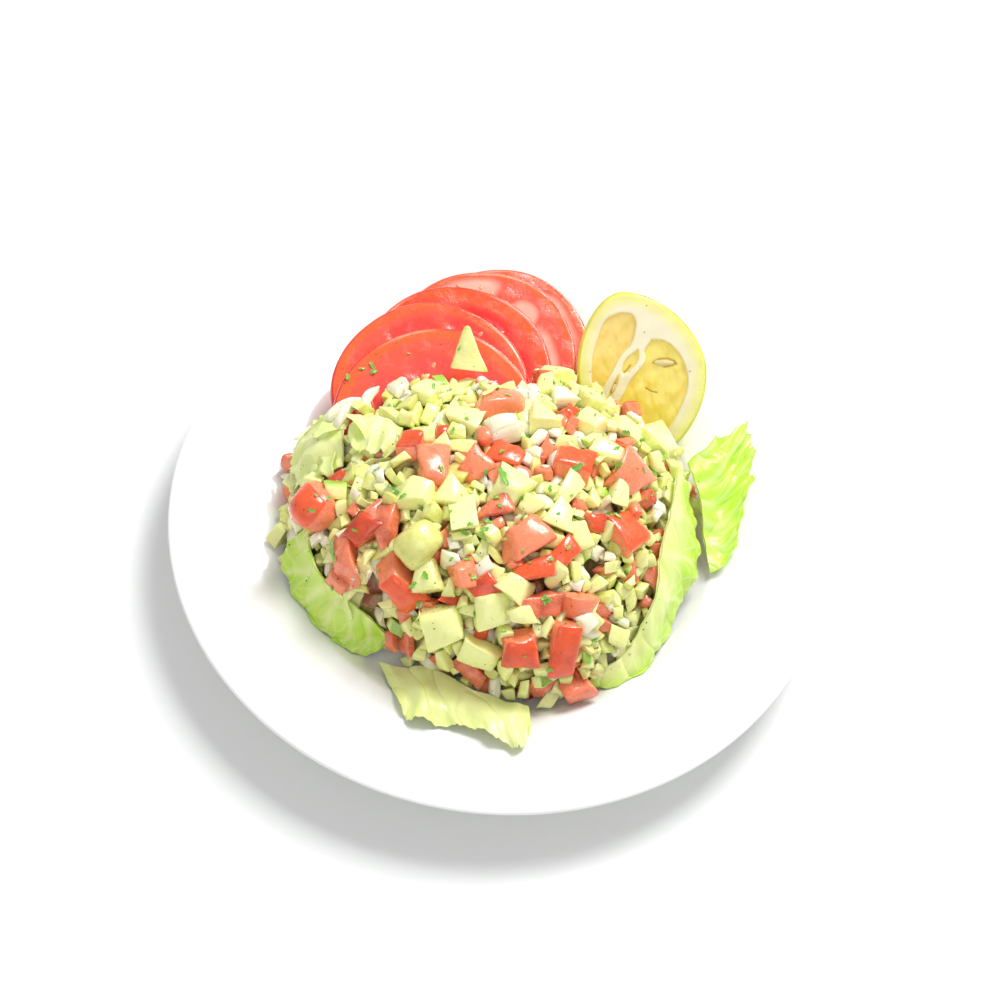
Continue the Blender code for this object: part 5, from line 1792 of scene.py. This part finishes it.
@dataclass
class Sprinkle:
    """Parsley, lettuce shreds and pepper, each laid on whatever is uppermost."""

    pieces: list[bpy.types.Object]
    mound: Mound = field(default_factory=Mound)
    seed: int = 21

    def __post_init__(self) -> None:
        """Make search trees over the pieces that carry the sprinkle."""
        graph = bpy.context.evaluated_depsgraph_get()
        self.trees = [BVHTree.FromObject(piece, graph) for piece in self.pieces]

    def top(self, x: float, y: float) -> tuple[np.ndarray, np.ndarray] | None:
        """Return the uppermost point and its normal over a place in plan, or None.

        Args:
            x: Place along X.
            y: Place along Y.

        Returns:
            The point and the normal, or None.
        """
        best = None
        for tree in self.trees:
            spot, normal, _, _ = tree.ray_cast(Vector((x, y, 200.0)) * MM, Vector((0.0, 0.0, -1.0)))
            if spot is not None and (best is None or spot.z / MM > best[0][2]):
                best = (np.array(spot) / MM, np.array(normal if normal.z > 0.0 else -normal))
        return best

    @staticmethod
    def turned(normal: np.ndarray, turn: float) -> np.ndarray:
        """Return the axes of a flake that lies on a surface."""
        upright = Vector(normal).to_track_quat("Z", "Y").to_matrix()
        return np.array(upright @ Matrix.Rotation(turn, 3, "Z"))

    def pepper(self, larder: Larder, count: int = 300) -> bpy.types.Object:
        """Scatter cracked pepper.

        Args:
            larder: The finishes.
            count: How many are tried.

        Returns:
            The piece.
        """
        rng = np.random.default_rng(self.seed)
        ball, quads = ball_net((-1.0, 0.0, 1.0))
        shape = Shape()
        for _ in range(count):
            angle, share = rng.uniform(0.0, TAU), rng.random() ** 0.5
            spot = self.mound.spot(angle, share * 1.05)
            if rng.random() < 0.16:
                spot = np.array([rng.uniform(-60.0, 80.0), rng.uniform(30.0, 105.0), 0.0])
            found = self.top(spot[0], spot[1])
            if found is None:
                continue
            size = rng.uniform(0.14, 0.38) * np.array([1.0, rng.uniform(0.6, 1.0), rng.uniform(0.5, 0.8)])
            grain = ball * size * rng.uniform(0.75, 1.2, (len(ball), 1))
            grain = grain @ self.turned(found[1], rng.uniform(0.0, TAU)).T + found[0]
            shape.add(grain, quads, place=grain, tone=np.full(len(grain), rng.random()))
        return shape.build("pepper_grains", larder.pepper, "chopped_salad")

    def flake(self, shape: Shape, spot: np.ndarray, normal: np.ndarray, size: tuple[float, float],
              turn: float, rng: np.random.Generator, curl: float = 0.5, **painted: float) -> None:
        """Add one thin curled flake with a notched outline.

        Args:
            shape: Shape that it goes into.
            spot: Where its middle lies.
            normal: Normal of what it lies on.
            size: Half length and half width.
            turn: Direction of its length, in radians.
            rng: Source of its outline and curl.
            curl: How strongly it curls.
            **painted: One value of each painted name.
        """
        columns, rows = 11, 7
        u, v = np.meshgrid(np.linspace(-1.0, 1.0, columns), np.linspace(-1.0, 1.0, rows))
        lobes = 0.75 + 0.25 * np.sin(6.5 * u + rng.uniform(0.0, TAU)) * np.sign(v)
        width = np.sqrt(np.clip(1.0 - (0.92 * u) ** 2, 0.0, 1.0)) * lobes
        x, y = u * size[0], v * size[1] * width
        z = curl * size[1] * (0.6 * (v * width) ** 2 + 0.5 * np.sin(2.2 * u + rng.uniform(0.0, TAU)))
        middle = np.stack([x, y, z + 0.35], -1).reshape(-1, 3)
        turned = self.turned(normal, turn)
        thick = np.array([0.0, 0.0, 0.13])
        world = np.vstack([middle + thick, middle - thick]) @ turned.T + spot
        shape.add(world, sheet_faces(rows, columns), place=world,
                  **{key: np.full(len(world), value) for key, value in painted.items()})

    def parsley(self, larder: Larder, count: int = 110) -> bpy.types.Object:
        """Scatter chopped parsley, with a few larger leaves where they stand out.

        Args:
            larder: The finishes.
            count: How many are tried.

        Returns:
            The piece.
        """
        rng = np.random.default_rng(self.seed + 1)
        shape = Shape()
        large = ((-1.0, -13.0, 5.2, 1.5, 95.0), (-43.0, -19.0, 2.6, 2.2, 20.0), (27.0, -2.0, 3.0, 1.6, 30.0),
                 (44.0, 4.0, 2.4, 1.2, 70.0), (58.0, 14.0, 3.2, 1.6, 10.0), (-31.0, -28.0, 2.4, 1.2, 40.0),
                 (-63.0, -41.0, 4.2, 1.5, -30.0), (52.0, 20.0, 3.0, 1.3, 160.0), (18.0, 33.0, 2.2, 1.2, 60.0))
        for x, y, length, width, turn in large:
            found = self.top(x, y)
            if found is not None:
                self.flake(shape, found[0], found[1], (length, width), math.radians(turn), rng, 0.5, tone=0.9)
        for _ in range(count):
            angle, share = rng.uniform(0.0, TAU), rng.random() ** 0.5
            spot = self.mound.spot(angle, share * 0.98)
            found = self.top(spot[0], spot[1])
            if found is not None:
                length = rng.uniform(0.7, 1.9)
                self.flake(shape, found[0], found[1], (length, length * rng.uniform(0.4, 0.8)),
                           rng.uniform(0.0, TAU), rng, 0.8, tone=rng.uniform(0.3, 1.0))
        return shape.build("parsley_flakes", larder.parsley, "lettuce")

    def shreds(self, larder: Larder) -> bpy.types.Object:
        """Lay pale lettuce shreds in the heap, most of them at its left side.

        Args:
            larder: The finishes.

        Returns:
            The piece.
        """
        rng = np.random.default_rng(self.seed + 2)
        shape = Shape()
        laid = ((-70.0, -1.0, 9.0, 5.0, 10.0), (-60.0, 8.0, 8.0, 4.5, 35.0), (-73.0, 12.0, 7.0, 4.0, -20.0),
                (-66.0, -8.0, 8.0, 3.5, 60.0), (-78.0, -5.0, 6.0, 3.0, 100.0), (-52.0, -4.0, 7.0, 3.0, 0.0),
                (-55.0, -55.0, 6.0, 2.4, -40.0), (-26.0, -66.0, 7.0, 2.2, 60.0), (62.0, 24.0, 6.0, 3.0, 20.0),
                (66.0, 14.0, 6.0, 2.4, 110.0), (-10.0, 30.0, 5.0, 2.0, 40.0), (-60.0, -15.0, 7.0, 2.6, 20.0))
        for x, y, length, width, turn in laid:
            found = self.top(x, y)
            if found is not None:
                self.flake(shape, found[0] + np.array([0.0, 0.0, 0.4]), found[1], (length, width),
                           math.radians(turn), rng, 0.7, green=rng.uniform(0.05, 0.4), rib=0.0,
                           tone=rng.uniform(0.4, 0.9))
        return shape.build("lettuce_shreds", larder.lettuce, "lettuce")


@dataclass
class Studio:
    """The table, the lights and the camera."""

    lens: float = 70.0
    elevation: float = 55.70331932
    roll: float = 7.20910792
    target: tuple[float, float, float] = (-1.17835795, 5.13354437, 25.0)
    distance: float = 798.54436993
    reach: float = 3.0
    surroundings: float = 0.54

    def camera(self) -> None:
        """Place the camera at the picture's viewing angle."""
        e, roll = math.radians(self.elevation), math.radians(self.roll)
        back = Vector((0.0, -math.cos(e), math.sin(e)))
        flat, up = Vector((1.0, 0.0, 0.0)), Vector((0.0, math.sin(e), math.cos(e)))
        right = flat * math.cos(roll) + up * math.sin(roll)
        top = up * math.cos(roll) - flat * math.sin(roll)
        data = bpy.data.cameras.new("camera")
        data.lens, data.sensor_width, data.clip_start = self.lens, 36.0, 0.01
        item = bpy.data.objects.new("camera", data)
        matrix = Matrix((right, top, back)).transposed().to_4x4()
        matrix.translation = (Vector(self.target) + back * self.distance) * MM
        item.matrix_world = matrix
        bpy.context.scene.collection.objects.link(item)
        bpy.context.scene.camera = item

    def light(self, name: str, place: tuple[float, float, float], power: float, size: float) -> None:
        """Add a soft square light that faces the plate.

        Args:
            name: Name of the light.
            place: Where it hangs, in metres.
            power: Power in watts.
            size: Length of its side, in metres.
        """
        data = bpy.data.lights.new(name, "AREA")
        data.energy, data.size = power, size
        item = bpy.data.objects.new(name, data)
        item.location = place
        item.rotation_euler = (Vector(place) - Vector((0.0, 0.0, 0.03))).to_track_quat("Z", "Y").to_euler()
        bpy.context.scene.collection.objects.link(item)

    def build(self) -> None:
        """Set the table, the lights, the surroundings and the camera."""
        mesh = bpy.data.meshes.new("table")
        corners = [(x * self.reach, y * self.reach, 0.0) for x, y in ((-1, -1), (1, -1), (1, 1), (-1, 1))]
        mesh.from_pydata(corners, [], [(0, 1, 2, 3)])
        table = bpy.data.objects.new("table", mesh)
        material = bpy.data.materials.new("table_top")
        material.use_nodes = True
        shader = material.node_tree.nodes["Principled BSDF"]
        shader.inputs["Base Color"].default_value = (0.86, 0.87, 0.86, 1.0)
        shader.inputs["Roughness"].default_value = 0.7
        mesh.materials.append(material)
        bpy.context.scene.collection.objects.link(table)
        self.light("key_light", (0.42, 0.64, 1.15), 18.5, 0.6)
        self.light("fill_light", (-0.2, -1.1, 0.9), 3.5, 0.9)
        world = bpy.data.worlds.new("studio")
        world.use_nodes = True
        background = world.node_tree.nodes["Background"]
        background.inputs[0].default_value = (1.0, 1.0, 1.0, 1.0)
        background.inputs[1].default_value = self.surroundings
        bpy.context.scene.world = world
        bpy.context.scene.view_settings.view_transform = "Standard"
        self.camera()


def main() -> None:
    """Build the salad, sprinkle it and set the table, the lights and the camera."""
    logging.basicConfig(level=logging.INFO, format="%(name)s: %(message)s")
    larder = Larder()
    Plate().build(larder)
    heap = Heap().build(larder)
    fan = Fan().build(larder)
    lemon = Lemon().build(larder)
    leaves = [leaf.build(larder) for leaf in LEAVES]
    wedge = CucumberWedge().build(larder)
    sprinkle = Sprinkle(heap + fan + [lemon] + leaves + [wedge])
    sprinkle.shreds(larder)
    sprinkle.parsley(larder)
    sprinkle.pepper(larder)
    Studio().build()


if __name__ == "__main__":
    main()
